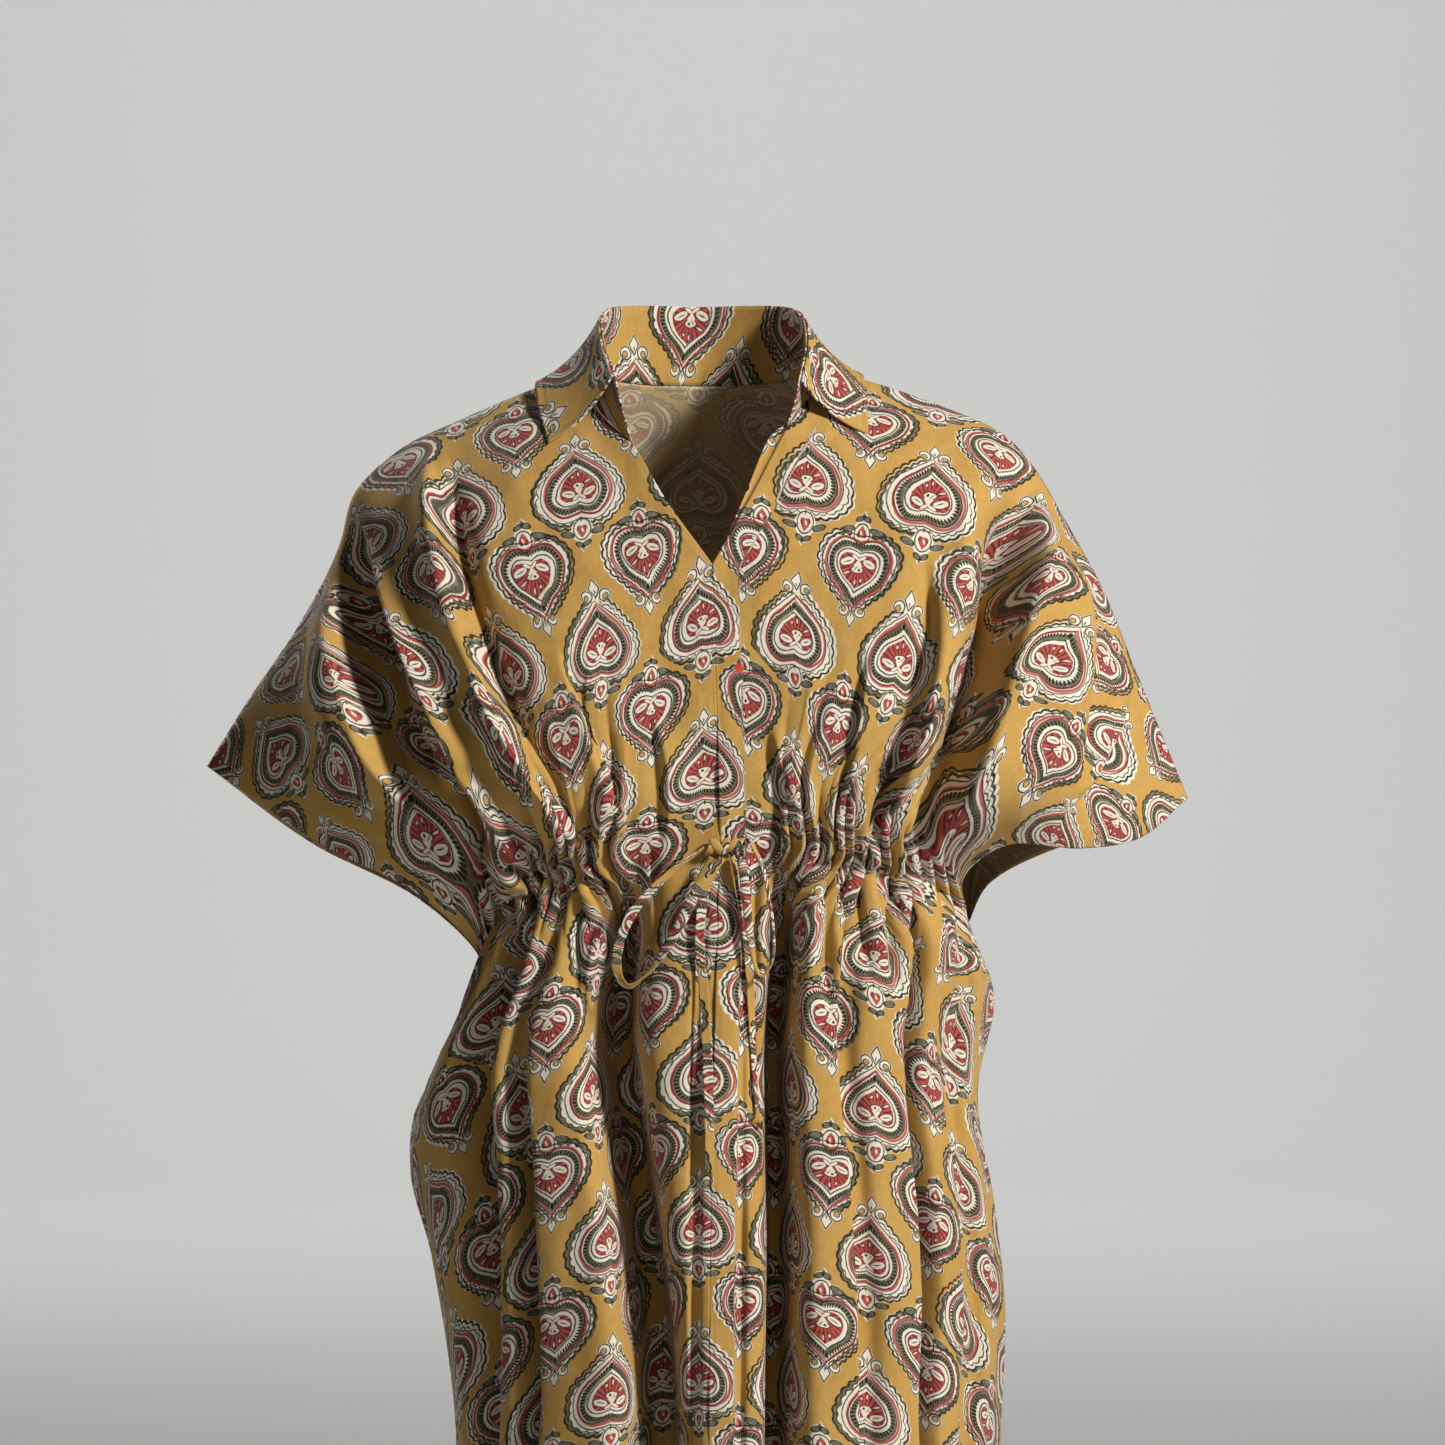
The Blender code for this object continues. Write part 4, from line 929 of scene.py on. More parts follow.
def gathered_rows(points, base, arc, drop, facing, columns, zone):
    """Points of the cloth's own columns: folds that take up a row's spare cloth, largest at the waist.

    Gives the worn points, where they would lie on the base without any folds, and the rows' widths.
    """
    shares = np.linspace(0.0, 1.0, columns)
    if zone is None:
        width = arc[:, -1]
        wanted = width[:, None] * shares[None, :]
        return at_arc(points, arc, wanted), at_arc(base, arc, wanted), width
    reach = np.where(drop < 0, zone.above, zone.below)
    near = np.exp(-(np.abs(drop) / reach) ** GATHER_FALL)
    waist = int(np.argmin(np.abs(drop)))
    cloth = zone.fullness * arc[waist, -1] * near + arc[:, -1] * (1.0 - near)
    fullness = np.maximum(cloth / arc[:, -1], 1.0)
    width = arc[:, -1] * fullness
    strength = gather_strength(shares, zone, fullness)
    steps = 0.5 * (1.0 / strength[:, 1:] + 1.0 / strength[:, :-1])
    place = running(steps)
    place /= place[:, -1:]
    wanted = place * arc[:, -1:]
    laid = at_arc(points, arc, wanted)
    uneven = sum(size * np.sin(2 * np.pi * waves * shares + start) for size, waves, start in zone.uneven)
    turns = zone.folds * (shares + uneven)
    wave_length = arc[:, -1:] * np.gradient(place, axis=1)
    wave_length = wave_length / np.maximum(np.gradient(turns)[None, :], 1e-6)
    height = wave_length / (2 * np.pi) * np.sqrt(2 * (strength**2 - 1.0))
    height = np.minimum(height, GATHER_MOST)
    own_reach = 1.0 + GATHER_VARIETY * np.sin(2.4 * np.round(turns) + 1.0)
    own_reach += 0.5 * GATHER_VARIETY * np.sin(turns)
    fold_reach = np.where(drop < 0, reach, GATHER_DROP * reach)
    fading = np.exp(-(np.abs(drop)[:, None] / (fold_reach[:, None] * own_reach[None, :])) ** 2)
    ridge = 2.0 * np.abs(np.sin(np.pi * turns)) ** GATHER_TIGHTNESS - 1.0
    lift = fading * ridge[None, :]
    normal = at_arc(normals_of(points, facing), arc, wanted)
    ends = smooth_step(shares / GATHER_STARTS) * smooth_step((1 - shares) / GATHER_ENDS)
    worn = laid + normal * (height * lift * ends[None, :])[..., None]
    return worn, at_arc(base, arc, wanted), width


def half_panel(edges, folds, steps, skirt_folds, recesses, zone, side, facing, columns):
    """One half of the front or back, from its centre to its side, and the same points in the flat cut."""
    across = np.linspace(0.0, 1.0, DENSE)
    upper = np.linspace(0.0, 1.0, BODICE_STEPS + 1)
    lower = np.linspace(0.0, 1.0, SKIRT_STEPS + 1)[1:] ** SKIRT_CROWDING
    waist = spline(edges["waist"], across)
    bodice = patch(
        edges["shoulder"](across), waist, edges["inner"](upper), spline(edges["cuff"], upper),
        across, upper, SHOULDER_START, SHOULDER_ROUNDING,
    )
    skirt = patch(
        waist, spline(edges["hem"], across), spline(edges["centre"], lower),
        spline(edges["side"], lower), across, lower, 1.0, WAIST_ROUNDING,
    )
    base = np.concatenate([bodice, skirt])
    down = np.concatenate([np.zeros(len(upper)), lower])
    drop = np.concatenate([(upper - 1.0) * CASING_DROP, lower * (LENGTH - CASING_DROP)])
    push = recess_push(side * across, recesses, down)
    push[: len(upper)] += fold_push(bodice, folds, steps)
    push[len(upper) :] += fold_push(skirt, skirt_folds, [])
    push += dents(base, 4 + side + 2 * facing)
    solid_row = np.full(len(base), float(SOLID_ROWS))
    solid_row[: len(upper)] = SOLID_ROWS * (upper / CASING_ABOVE) ** (1 / ROW_CROWDING)
    outer_fade = smooth_step((1.0 - across) / OUTER_FADE)
    top_fade = smooth_step(solid_row / TOP_FADE_ROWS)
    push *= outer_fade[None, :] * top_fade[:, None]
    normal = normals_of(base, facing)
    normal[..., 0] *= smooth_step(across / CENTRE_EASE)
    folded = base + normal * push[..., None]
    arc = even_take_up(base, folded, drop)
    points, plain, width = gathered_rows(folded, base, arc, drop, facing, columns, zone)
    inner = side * (base[:, 0, 0] - np.interp(V_SHARE, upper, bodice[:, 0, 0]))
    return points, flat_cut(plain, upper, lower, drop, width, inner, side, facing)


def cloth_directions(plain):
    """Which way the cloth's width and its length run at each point of an unfolded bodice grid."""
    normal = unit(grid_normals(plain))
    lean = SLEEVE_LEAN * smooth_step((np.abs(plain[..., 0]) - ARMHOLE) / ARMHOLE_FADE)
    outwards = np.sign(plain[0, -1, 0])
    aim = np.stack([outwards * np.cos(lean), np.zeros_like(lean), -np.sin(lean)], axis=2)
    sideways = unit(aim - (aim * normal).sum(axis=2, keepdims=True) * normal)
    downward = np.cross(normal, sideways)
    downward *= np.sign((downward * np.gradient(plain, axis=0)).sum(axis=2, keepdims=True))
    return sideways, downward


def least_squares(start, finish, wanted, trust, held, known):
    """A number for each point, whose steps from start to finish come as near as they can to those
    wanted, while the held points keep to what is known."""
    system = np.zeros((len(known), len(known)))
    right = np.zeros(len(known))
    for first, second in ((start, finish), (finish, start)):
        np.add.at(system, (first, first), trust)
        np.add.at(system, (first, second), -trust)
    np.add.at(right, finish, trust * wanted)
    np.add.at(right, start, -trust * wanted)
    system[held, held] += HELD_FAST
    right[held] += HELD_FAST * known[held]
    return np.linalg.solve(system, right)


def flattened(plain, cloth_step, drop, edge):
    """A bodice grid laid flat: places whose steps match the cloth's own, across and down.

    plain is the unfolded grid, cloth_step each row's cloth between two columns, and edge the known
    places of the waist row and of the centre column, which the rest is fitted to.
    """
    sideways, downward = cloth_directions(plain)
    number = np.arange(plain[..., 0].size).reshape(plain.shape[:2])
    every, but_last, but_first = slice(None), slice(0, -1), slice(1, None)
    pairs = []
    for first, second in (((but_last, every), (but_first, every)), ((every, but_last), (every, but_first))):
        step = plain[second] - plain[first]
        across = (step * (sideways[first] + sideways[second])).sum(axis=2) / 2
        down = (step * (downward[first] + downward[second])).sum(axis=2) / 2
        if first[0] is every:
            longer = cloth_step[:, None] / np.linalg.norm(step, axis=2)
            across, down = across * longer, down * longer
            trust = np.ones_like(across)
        else:
            clear = smooth_step(np.abs(drop[first[0]]) / GATHERS_CLEAR)
            trust = GATHERS_TRUST + (1 - GATHERS_TRUST) * clear[:, None]
            trust = np.broadcast_to(trust, across.shape)
        pairs.append([part.ravel() for part in (number[first], number[second], across, down, trust)])
    start, finish, across, down, trust = (np.concatenate(part) for part in zip(*pairs))
    held = np.concatenate([number[-1], number[:-1, 0]])
    u = least_squares(start, finish, across, trust, held, edge[..., 0].ravel())
    v = least_squares(start, finish, down, np.ones_like(trust), held, edge[..., 1].ravel())
    return np.stack([u, v], axis=1).reshape(*plain.shape[:2], 2)


def between(coarse, row_places, column_places, rows, columns):
    """A coarse grid's values at every row and column."""
    wide = np.array([np.interp(np.arange(columns), column_places, line) for line in coarse])
    return np.array([np.interp(np.arange(rows), row_places, line) for line in wide.T]).T


def flat_cut(plain, upper, lower, drop, width, inner, side, facing):
    """Where each grid point lies in the flat cut: across from the centre, and down from the shoulder."""
    columns = plain.shape[1]
    share = np.linspace(0.0, 1.0, columns)[None, :]
    depth = np.concatenate([upper, 1.0 + lower])[:, None]
    neck = np.where(depth < V_SHARE, inner[:, None], 0.0) if facing < 0 else 0.0
    u = neck + share * width[:, None]
    bodice_depth = CASING_DROP + (SIDE_CUT_DROP - CASING_DROP) * share**SIDE_RISE
    v = bodice_depth + np.clip(depth - 1.0, 0.0, 1.0) * (LENGTH - CASING_DROP)
    centre = plain[: len(upper), 0]
    fall = np.linalg.norm(np.diff(centre, axis=0), axis=1) ** 2 - np.diff(u[: len(upper), 0]) ** 2
    fall = np.sqrt(np.maximum(fall, 0.0))
    v[: len(upper) - 1, 0] -= np.cumsum(fall[::-1])[::-1]
    rows_kept = np.unique(np.linspace(0, len(upper) - 1, FLAT_ROWS).round().astype(int))
    columns_kept = np.unique(np.linspace(0, columns - 1, FLAT_COLUMNS).round().astype(int))
    kept = np.ix_(rows_kept, columns_kept)
    edge = np.stack([u[kept], v[kept]], axis=2)
    cloth_step = width[rows_kept] * (columns_kept[-1] / (len(columns_kept) - 1)) / (columns - 1)
    laid = flattened(plain[kept], cloth_step, drop[rows_kept], edge)
    for place, whole in enumerate((u, v)):
        whole[: len(upper)] = between(laid[..., place], rows_kept, columns_kept, len(upper), columns)
    if facing < 0:
        beyond = PLEAT_TAKES * (share * width[:, None] > PLEAT_PLACE) if side > 0 else 0.0
        u = u + side * SEAM_PLACE + beyond
    return np.stack([side * u, v], axis=2)


def smooth_curve(places):
    """The spline through the places, as a function of the share of its length."""
    return lambda shares: spline(places, shares)


def joined_curve(first, second, meeting):
    """A curve along the first places up to a share of its length, and then along the second."""

    def curve(shares):
        before = spline(first, np.clip(shares / meeting, 0.0, 1.0))
        after = spline(second, np.clip((shares - meeting) / (1.0 - meeting), 0.0, 1.0))
        return np.where((shares < meeting)[:, None], before, after)

    return curve


def back_neck_places(side):
    """The back neck edge on one side, ending where that side's shoulder seam starts."""
    places = [Place(place.share, side * place.x, place.y, place.z) for place in BACK_NECK[:-1]]
    return places + [Place(1.0, *NECK_CORNER[side])]


def front_half(side):
    """One front on the worn shape and in the flat cut."""
    edges = {
        "shoulder": smooth_curve(SHOULDER[side]),
        "inner": joined_curve(NECK[side], CENTRE_FRONT, V_SHARE),
        "cuff": FRONT_CUFF[side],
        "waist": FRONT_WAIST[side],
        "hem": FRONT_HEM[side],
        "centre": CENTRE_FRONT_SKIRT,
        "side": SIDE_SEAM[side],
    }
    return half_panel(
        edges, BODICE_FOLDS, BODICE_CREASES, SKIRT_FOLDS, FRONT_RECESSES,
        ZONES[side], side, -1, PANEL_COLUMNS,
    )


def back_half(side):
    """One half of the back on the worn shape and in the flat cut."""
    edges = {
        "shoulder": joined_curve(back_neck_places(side), SHOULDER[side], BACK_NECK_SHARE),
        "inner": smooth_curve(CENTRE_BACK),
        "cuff": BACK_CUFF[side],
        "waist": BACK_WAIST[side],
        "hem": BACK_HEM[side],
        "centre": CENTRE_BACK_SKIRT,
        "side": SIDE_SEAM[side],
    }
    return half_panel(
        edges, BACK_BODICE_FOLDS, BACK_BODICE_CREASES, [], BACK_RECESSES,
        None, side, 1, BACK_PANEL_COLUMNS,
    )


def put_in_scene(name, data):
    """An object of the given mesh, lamp or camera."""
    thing = bpy.data.objects.new(name, data)
    bpy.context.scene.collection.objects.link(thing)
    return thing


def cotton_piece(name, data, materials):
    """A finished mesh as a piece of the printed cotton."""
    for material in materials:
        data.materials.append(material)
    data.shade_smooth()
    piece = put_in_scene(name, data)
    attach(piece, "root")
    return piece


def cloth_sheet(name, points, flat, outward, materials, stitches=None, thickness=CLOTH):
    """A thin shell on a grid of points: a flat grid of the cut, carried onto the worn shape.

    outward is a grid of directions that the right side of the cloth faces; stitches is each
    point's distance to the nearest row of stitches, in metres.
    """
    rows, columns = points.shape[:2]
    mesh = bmesh.new()
    bmesh.ops.create_grid(mesh, x_segments=columns - 1, y_segments=rows - 1, size=0.5)
    data = bpy.data.meshes.new(name)
    mesh.to_mesh(data)
    mesh.free()
    data.vertices.foreach_set("co", points.astype(np.float32).ravel())
    if (grid_normals(points) * outward).sum() < 0:
        data.flip_normals()
    corner = np.empty(len(data.loops), np.int32)
    data.loops.foreach_get("vertex_index", corner)
    cut = flat.reshape(-1, 2)[corner] * np.array([1.0, -1.0])
    layer = data.uv_layers.new(name="cut")
    layer.uv.foreach_set("vector", cut.astype(np.float32).ravel())
    if stitches is not None:
        place = data.attributes.new("stitch_distance", "FLOAT", "POINT")
        place.data.foreach_set("value", stitches.astype(np.float32).ravel())
    piece = cotton_piece(name, data, materials)
    wall = piece.modifiers.new("cloth", "SOLIDIFY")
    wall.thickness = thickness
    wall.offset = -1.0
    wall.material_offset = 1
    return piece


def panel_stitches(flat, facing):
    """Each point's distance to the nearest row of stitches on one half of a panel, in the flat cut."""
    across = np.abs(flat[..., 0] - flat[:, :1, 0])
    width = across[:, -1:]
    drop = flat[:, :1, 1] - CASING_DROP
    in_sleeve = drop <= 0.0
    rows = [
        np.where(in_sleeve, np.abs(width - across - SLEEVE_HEM), FAR),
        np.abs(LENGTH - flat[..., 1] - BOTTOM_HEM),
    ]
    if facing < 0:
        casing = np.abs(np.abs(drop) - CASING_HEIGHT / 2)
        rows.append(np.where(across <= CASING_SHARE * width, casing, FAR))
        rows.append(np.abs(across - CENTRE_STITCH))
    return np.minimum.reduce(np.broadcast_arrays(*rows))


def cut_size(flat):
    """Width and length of the smallest upright rectangle that holds the flat cut, turned to suit."""
    spread = flat.reshape(-1, 2)
    sizes = []
    for degrees in range(0, 90, 3):
        cosine, sine = math.cos(math.radians(degrees)), math.sin(math.radians(degrees))
        turned = spread @ np.array([[cosine, -sine], [sine, cosine]])
        sizes.append(tuple(float(size) for size in np.ptp(turned, axis=0)))
    return min(sizes, key=lambda size: size[0] * size[1])


def declare(flat):
    """Works out the width and length of the piece's flat cut, and keeps neither."""
    width, length = cut_size(flat)


class Field:
    """A shading value in a node tree. Plain arithmetic on it adds nodes and gives new values."""

    def __init__(self, tree, socket):
        self.tree = tree
        self.socket = socket

    def maths(self, operation, *others, clamp=False):
        node = self.tree.nodes.new("ShaderNodeMath")
        node.operation = operation
        node.use_clamp = clamp
        for place, value in enumerate((self, *others)):
            if isinstance(value, Field):
                self.tree.links.new(value.socket, node.inputs[place])
            else:
                node.inputs[place].default_value = value
        return Field(self.tree, node.outputs[0])

    def __add__(self, other):
        return self.maths("ADD", other)

    def __sub__(self, other):
        return self.maths("SUBTRACT", other)

    def __mul__(self, other):
        return self.maths("MULTIPLY", other)

    def __truediv__(self, other):
        return self.maths("DIVIDE", other)

    def size(self):
        return self.maths("ABSOLUTE")

    def root(self):
        return self.maths("SQRT")

    def sine(self):
        return self.maths("SINE")

    def most(self, other):
        return self.maths("MAXIMUM", other)

    def least(self, other):
        return self.maths("MINIMUM", other)

    def share(self, more=0.0):
        """The value and what is added to it, kept between 0 and 1."""
        return self.maths("ADD", more, clamp=True)

    def inside(self, soft=EDGE):
        """1 where the value is below 0 and 0 where it is above, over a soft edge of that width."""
        return self.maths("MULTIPLY_ADD", -1.0 / soft, 0.5, clamp=True)

    def fade(self, start, end):
        """A smooth rise from 0 where the value is the start to 1 where it is the end."""
        node = self.tree.nodes.new("ShaderNodeMapRange")
        node.interpolation_type = "SMOOTHSTEP"
        node.inputs["From Min"].default_value = start
        node.inputs["From Max"].default_value = end
        self.tree.links.new(self.socket, node.inputs["Value"])
        return Field(self.tree, node.outputs["Result"])

    def curve(self, points):
        """The value looked up on a hand-drawn curve."""
        node = self.tree.nodes.new("ShaderNodeFloatCurve")
        line = node.mapping.curves[0]
        line.points[0].location = points[0]
        line.points[1].location = points[-1]
        for x, y in points[1:-1]:
            line.points.new(x, y)
        node.mapping.update()
        self.tree.links.new(self.socket, node.inputs["Value"])
        return Field(self.tree, node.outputs[0])


def noise_node(tree, vector, scale, detail, roughness):
    """A noise texture on the vector."""
    node = tree.nodes.new("ShaderNodeTexNoise")
    node.inputs["Scale"].default_value = scale
    node.inputs["Detail"].default_value = detail
    node.inputs["Roughness"].default_value = roughness
    tree.links.new(vector, node.inputs["Vector"])
    return node


def noise(tree, vector, scale, detail=2.0, roughness=0.5):
    """A soft random value around 0.5."""
    return Field(tree, noise_node(tree, vector, scale, detail, roughness).outputs["Fac"])


def stretched(tree, vector, scale):
    """The vector with each of its parts scaled."""
    node = tree.nodes.new("ShaderNodeMapping")
    node.inputs["Scale"].default_value = scale
    tree.links.new(vector, node.inputs["Vector"])
    return node.outputs[0]


def parted(tree, vector):
    """The three parts of a vector as fields."""
    node = tree.nodes.new("ShaderNodeSeparateXYZ")
    tree.links.new(vector, node.inputs[0])
    return [Field(tree, output) for output in node.outputs]


def joined(tree, x, y):
    """A vector of two fields."""
    node = tree.nodes.new("ShaderNodeCombineXYZ")
    tree.links.new(x.socket, node.inputs[0])
    tree.links.new(y.socket, node.inputs[1])
    return node.outputs[0]


def distance(*parts):
    """How far from their zero point fields lie that are square to each other."""
    total = parts[0] * parts[0]
    for part in parts[1:]:
        total = total + part * part
    return total.root()


def tinted(tree, mask, under, over):
    """A colour laid over another as far as the mask says: a field or a number from 0 to 1.

    A colour is a socket or three numbers.
    """
    node = tree.nodes.new("ShaderNodeMix")
    node.data_type = "RGBA"
    if isinstance(mask, Field):
        tree.links.new(mask.socket, node.inputs["Factor"])
    else:
        node.inputs["Factor"].default_value = mask
    for name, value in (("A", under), ("B", over)):
        socket = next(s for s in node.inputs if s.name == name and s.type == "RGBA")
        if isinstance(value, bpy.types.NodeSocket):
            tree.links.new(value, socket)
        else:
            socket.default_value = (*value, 1.0)
    return next(s for s in node.outputs if s.type == "RGBA")


def oval(x, y, mark):
    """Distance from an oval's edge, in millimetres: below 0 inside it."""
    dx = x - mark.x
    dy = y - mark.y
    if mark.turn:
        cosine, sine = math.cos(math.radians(mark.turn)), math.sin(math.radians(mark.turn))
        dx, dy = dx * cosine + dy * sine, dy * cosine - dx * sine
    return (distance(dx / mark.across, dy / mark.along) - 1.0) * min(mark.across, mark.along)


def lozenge(x, y, mark):
    """Distance from a lozenge's edge, in millimetres: below 0 inside it."""
    dx = (x - mark.x).size() / mark.across
    dy = (y - mark.y).size() / mark.along
    return (dx + dy - 1.0) * (min(mark.across, mark.along) * 0.8)


def nearest_motif(tree, cut):
    """A point's place in the nearest motif, in millimetres and with +Y towards the motif's point,
    whether that motif is a turned one, and two random values of its own."""
    u, v, _ = parted(tree, cut)
    for scale, reach in WAVERS:
        across, down, _ = parted(tree, noise_node(tree, cut, scale, 1.0, 0.5).outputs["Color"])
        u = u + (across - 0.5) * reach
        v = v + (down - 0.5) * reach
    across = u / REPEAT_ACROSS
    down = (v + FIRST_UPRIGHT) / REPEAT_DOWN
    grids = []
    for offset, sign in ((0.0, 1.0), (0.5, -1.0)):
        row = (across + offset).maths("ROUND") - offset
        line = (down + offset).maths("ROUND") - offset
        x = (across - row) * (sign * REPEAT_ACROSS * 1000)
        y = (down - line) * (sign * REPEAT_DOWN * 1000)
        grids.append((x, y, row, line))
    far = [x * x + y * y for x, y, _, _ in grids]
    upright = (far[0] - far[1]).maths("LESS_THAN", 0.0)
    x, y, row, line = (turned + (straight - turned) * upright for straight, turned in zip(*grids))
    own = tree.nodes.new("ShaderNodeTexWhiteNoise")
    own.noise_dimensions = "2D"
    tree.links.new(joined(tree, row, line), own.inputs["Vector"])
    chance_x, chance_y, _ = parted(tree, own.outputs["Color"])
    return x, y, upright * -1.0 + 1.0, (chance_x - 0.5, chance_y - 0.5)


def polar(x, y):
    """Polar coordinates in the motif: share of the half turn from its point, and the reach in mm."""
    return x.size().maths("ARCTAN2", y) / math.pi, distance(x, y)


def block(x, y, shift, chance):
    """Polar coordinates for one dye's block, set down a little off the madder's."""
    return polar(x + chance[0] * SHIFT_SPREAD + shift[0], y + chance[1] * SHIFT_SPREAD + shift[1])


def outline_reach(share, outline):
    """Reach of one of the motif's inner outlines, in millimetres."""
    return share.curve(outline) * REACH


def rim_reach(share, turned):
    """Reach of the motif's scalloped outer outline, in millimetres."""
    wave = (share * (math.pi * SCALLOPS)).sine().size()
    return outline_reach(share, RIM) - turned * TURNED_RIM + wave * SCALLOP_DEPTH - SCALLOP_DEPTH * 0.6


def marks_of(dye, x, y, turned):
    """The nearest distance to any of a dye's marks."""
    shifts = {"point": turned * TURNED_POINT, "notch": turned * -TURNED_NOTCH, "heart": 0.0}
    nearest = None
    for mark in MARKS:
        if mark.dye != dye:
            continue
        shape = oval if mark.shape == "oval" else lozenge
        far = shape(x.size() if mark.mirrored else x, y + shifts[mark.place], mark)
        if mark.line:
            far = far.size() - mark.line
        nearest = far if nearest is None else nearest.least(far)
    return nearest


def ground_colour(tree, cut):
    """The mustard ground: dyed a little unevenly, with paler slubs along the threads and dark specks."""
    cloud = noise(tree, cut, 11.0, 3.0, 0.6)
    streak = noise(tree, stretched(tree, cut, (1.0, 0.09, 1.0)), 900.0, 2.0, 0.7)
    blotch = noise(tree, cut, 170.0, 3.0, 0.7)
    tone = cloud + streak * 0.9 + blotch * 0.8 - 0.78
    colour = tinted(tree, tone.share(), GROUND_DEEP, GROUND)
    dark = ((noise(tree, cut, 620.0, 1.0) - 0.735) * 14.0).share()
    return tinted(tree, dark * 0.55, colour, SPECK)


def resist_print(tree, motif, finials, ground):
    """The resist keeps the cloth white round the motif and at its ends."""
    x, y, turned, (chance_x, chance_y) = motif
    share, radius = block(x, y, CREAM_SHIFT, (chance_y * -0.3, chance_x * 0.3))
    white = (radius - rim_reach(share, turned) - 0.5).least(finials)
    colour = tinted(tree, white.inside(), ground, CREAM)
    return tinted(tree, marks_of("ground", x, y, turned).inside(), colour, ground)


def olive_print(tree, motif, finials, patchy, colour):
    """Olive: the band round the heart, and the rim's leaves, fuller on one side."""
    x, y, turned, (chance_x, chance_y) = motif
    share, radius = block(x, y, OLIVE_SHIFT, (chance_y, chance_x))
    heart = outline_reach(share, INNER_HEART)
    band = (radius - heart) / (outline_reach(share, MADDER_LINE) - heart)
    olive = (band - OLIVE_BAND).size() * BAND_WIDTH - OLIVE_BAND_HALF
    fuller = ((x * -0.018) - y * 0.010 + 0.62).share()
    rim = (radius - rim_reach(share, turned) - OLIVE_RIM).size() - fuller * OLIVE_RIM_HALF
    olive = olive.least(rim.most(finials * -1.0 - FINIAL_MARGIN)).least(marks_of("olive", x, y, turned))
    strength = ((patchy - 0.2) * 3.0).share() * 0.26 + 0.72
    return tinted(tree, olive.inside() * strength, colour, OLIVE)


def madder_print(tree, motif, patchy, colour):
    """Madder: the heart with its darker rays, the line round it and the bud's small heart."""
    x, y, turned, _ = motif
    share, radius = polar(x, y)
    heart = outline_reach(share, INNER_HEART)
    ray_share, ray_reach = polar(x, y + 3.0)
    ray = (ray_share * (math.pi * RAYS)).maths("COSINE") * 1.1 + (patchy - 0.5) * 3.0
    ray = ray.share(0.18) * ((ray_reach - 5.0) * 0.5).share()
    red = tinted(tree, ray * 0.85, MADDER, MADDER_DARK)
    flowers = marks_of("cream", x, y, turned)
    filled = (radius - heart).least(marks_of("madder", x, y, turned)).most((flowers + 0.2) * -1.0)
    colour = tinted(tree, filled.inside(), colour, red)
    colour = tinted(tree, flowers.most(radius - heart - 0.6).inside(FINE_EDGE), colour, CREAM)
    line = (radius - outline_reach(share, MADDER_LINE)).size() - MADDER_LINE_HALF
    colour = tinted(tree, line.inside() * 0.96, colour, MADDER)
    rim = ((flowers - 0.25).size() - FLOWER_LINE_HALF).most(radius - heart)
    return tinted(tree, rim.inside(FINE_EDGE) * 0.8, colour, MADDER_DARK)


def ink_print(tree, cut, motif, finials, colour):
    """Ink: the drawn lines, worn unevenly."""
    x, y, turned, (chance_x, chance_y) = motif
    share, radius = block(x, y, INK_SHIFT, (chance_x, chance_y))
    share = share + (noise(tree, cut, 120.0) - 0.5) * 0.02
    heart = outline_reach(share, INNER_HEART)
    madder = outline_reach(share, MADDER_LINE)
    band = (radius - heart) / (madder - heart)
    rim = radius - rim_reach(share, turned)
    off_finials = finials * -1.0 - FINIAL_MARGIN
    dash = (share * (math.pi * DASHES)).sine() * -1.0 - 0.10
    dashes = ((band - DASHES_BAND).size() * BAND_WIDTH - DASHES_HALF).most(dash * 0.8 - 0.1)
    outline = ((rim - OUTLINE).size() - OUTLINE_HALF).most(off_finials)
    wave = (share * (math.pi * SCALLOPS) + 1.2).sine() * 0.5
    inner = ((rim - INNER_LINE - wave).size() - INNER_LINE_HALF).most(off_finials)
    fine = (band - BAND_LINE).size() * BAND_WIDTH - BAND_LINE_HALF
    fine = fine.least((radius - madder - OUTER_LINE).size() - OUTER_LINE_HALF)
    beside = (radius - madder - BESIDE_LINE).size() - BESIDE_HALF
    colour = tinted(tree, beside.inside() * 0.9, colour, MADDER_DARK)
    drawn = outline.least(dashes).least(marks_of("ink", x, y, turned))
    strength = ((noise(tree, cut, 420.0, 2.0, 0.7) - 0.30) * 4.0).share()
    colour = tinted(tree, drawn.inside(FINE_EDGE) * (strength * 0.12 + 0.88), colour, INK)
    return tinted(tree, fine.least(inner).inside(FINE_EDGE) * (strength * 0.22 + 0.76), colour, INK)


def block_print(tree, cut):
    """The whole print as a colour: resist, then olive, madder and ink, each with its own block."""
    motif = nearest_motif(tree, cut)
    x, y, turned, _ = motif
    finials = marks_of("resist", x, y, turned)
    patchy = noise(tree, cut, 240.0, 2.0, 0.6)
    colour = resist_print(tree, motif, finials, ground_colour(tree, cut))
    colour = olive_print(tree, motif, finials, patchy, colour)
    colour = madder_print(tree, motif, patchy, colour)
    return ink_print(tree, cut, motif, finials, colour)


def weave_height(tree, cut):
    """Threads of the cotton, over and under, with slubs along them."""
    u, v, _ = parted(tree, cut)
    warp = (u * (2 * math.pi / THREAD_PITCH)).sine()
    weft = (v * (2 * math.pi / THREAD_PITCH)).sine()
    height = (warp * weft) * 0.5
    for scale in ((1.0, 0.06, 1.0), (0.06, 1.0, 1.0)):
        height = height + noise(tree, stretched(tree, cut, scale), SLUB_SCALE)
    return height


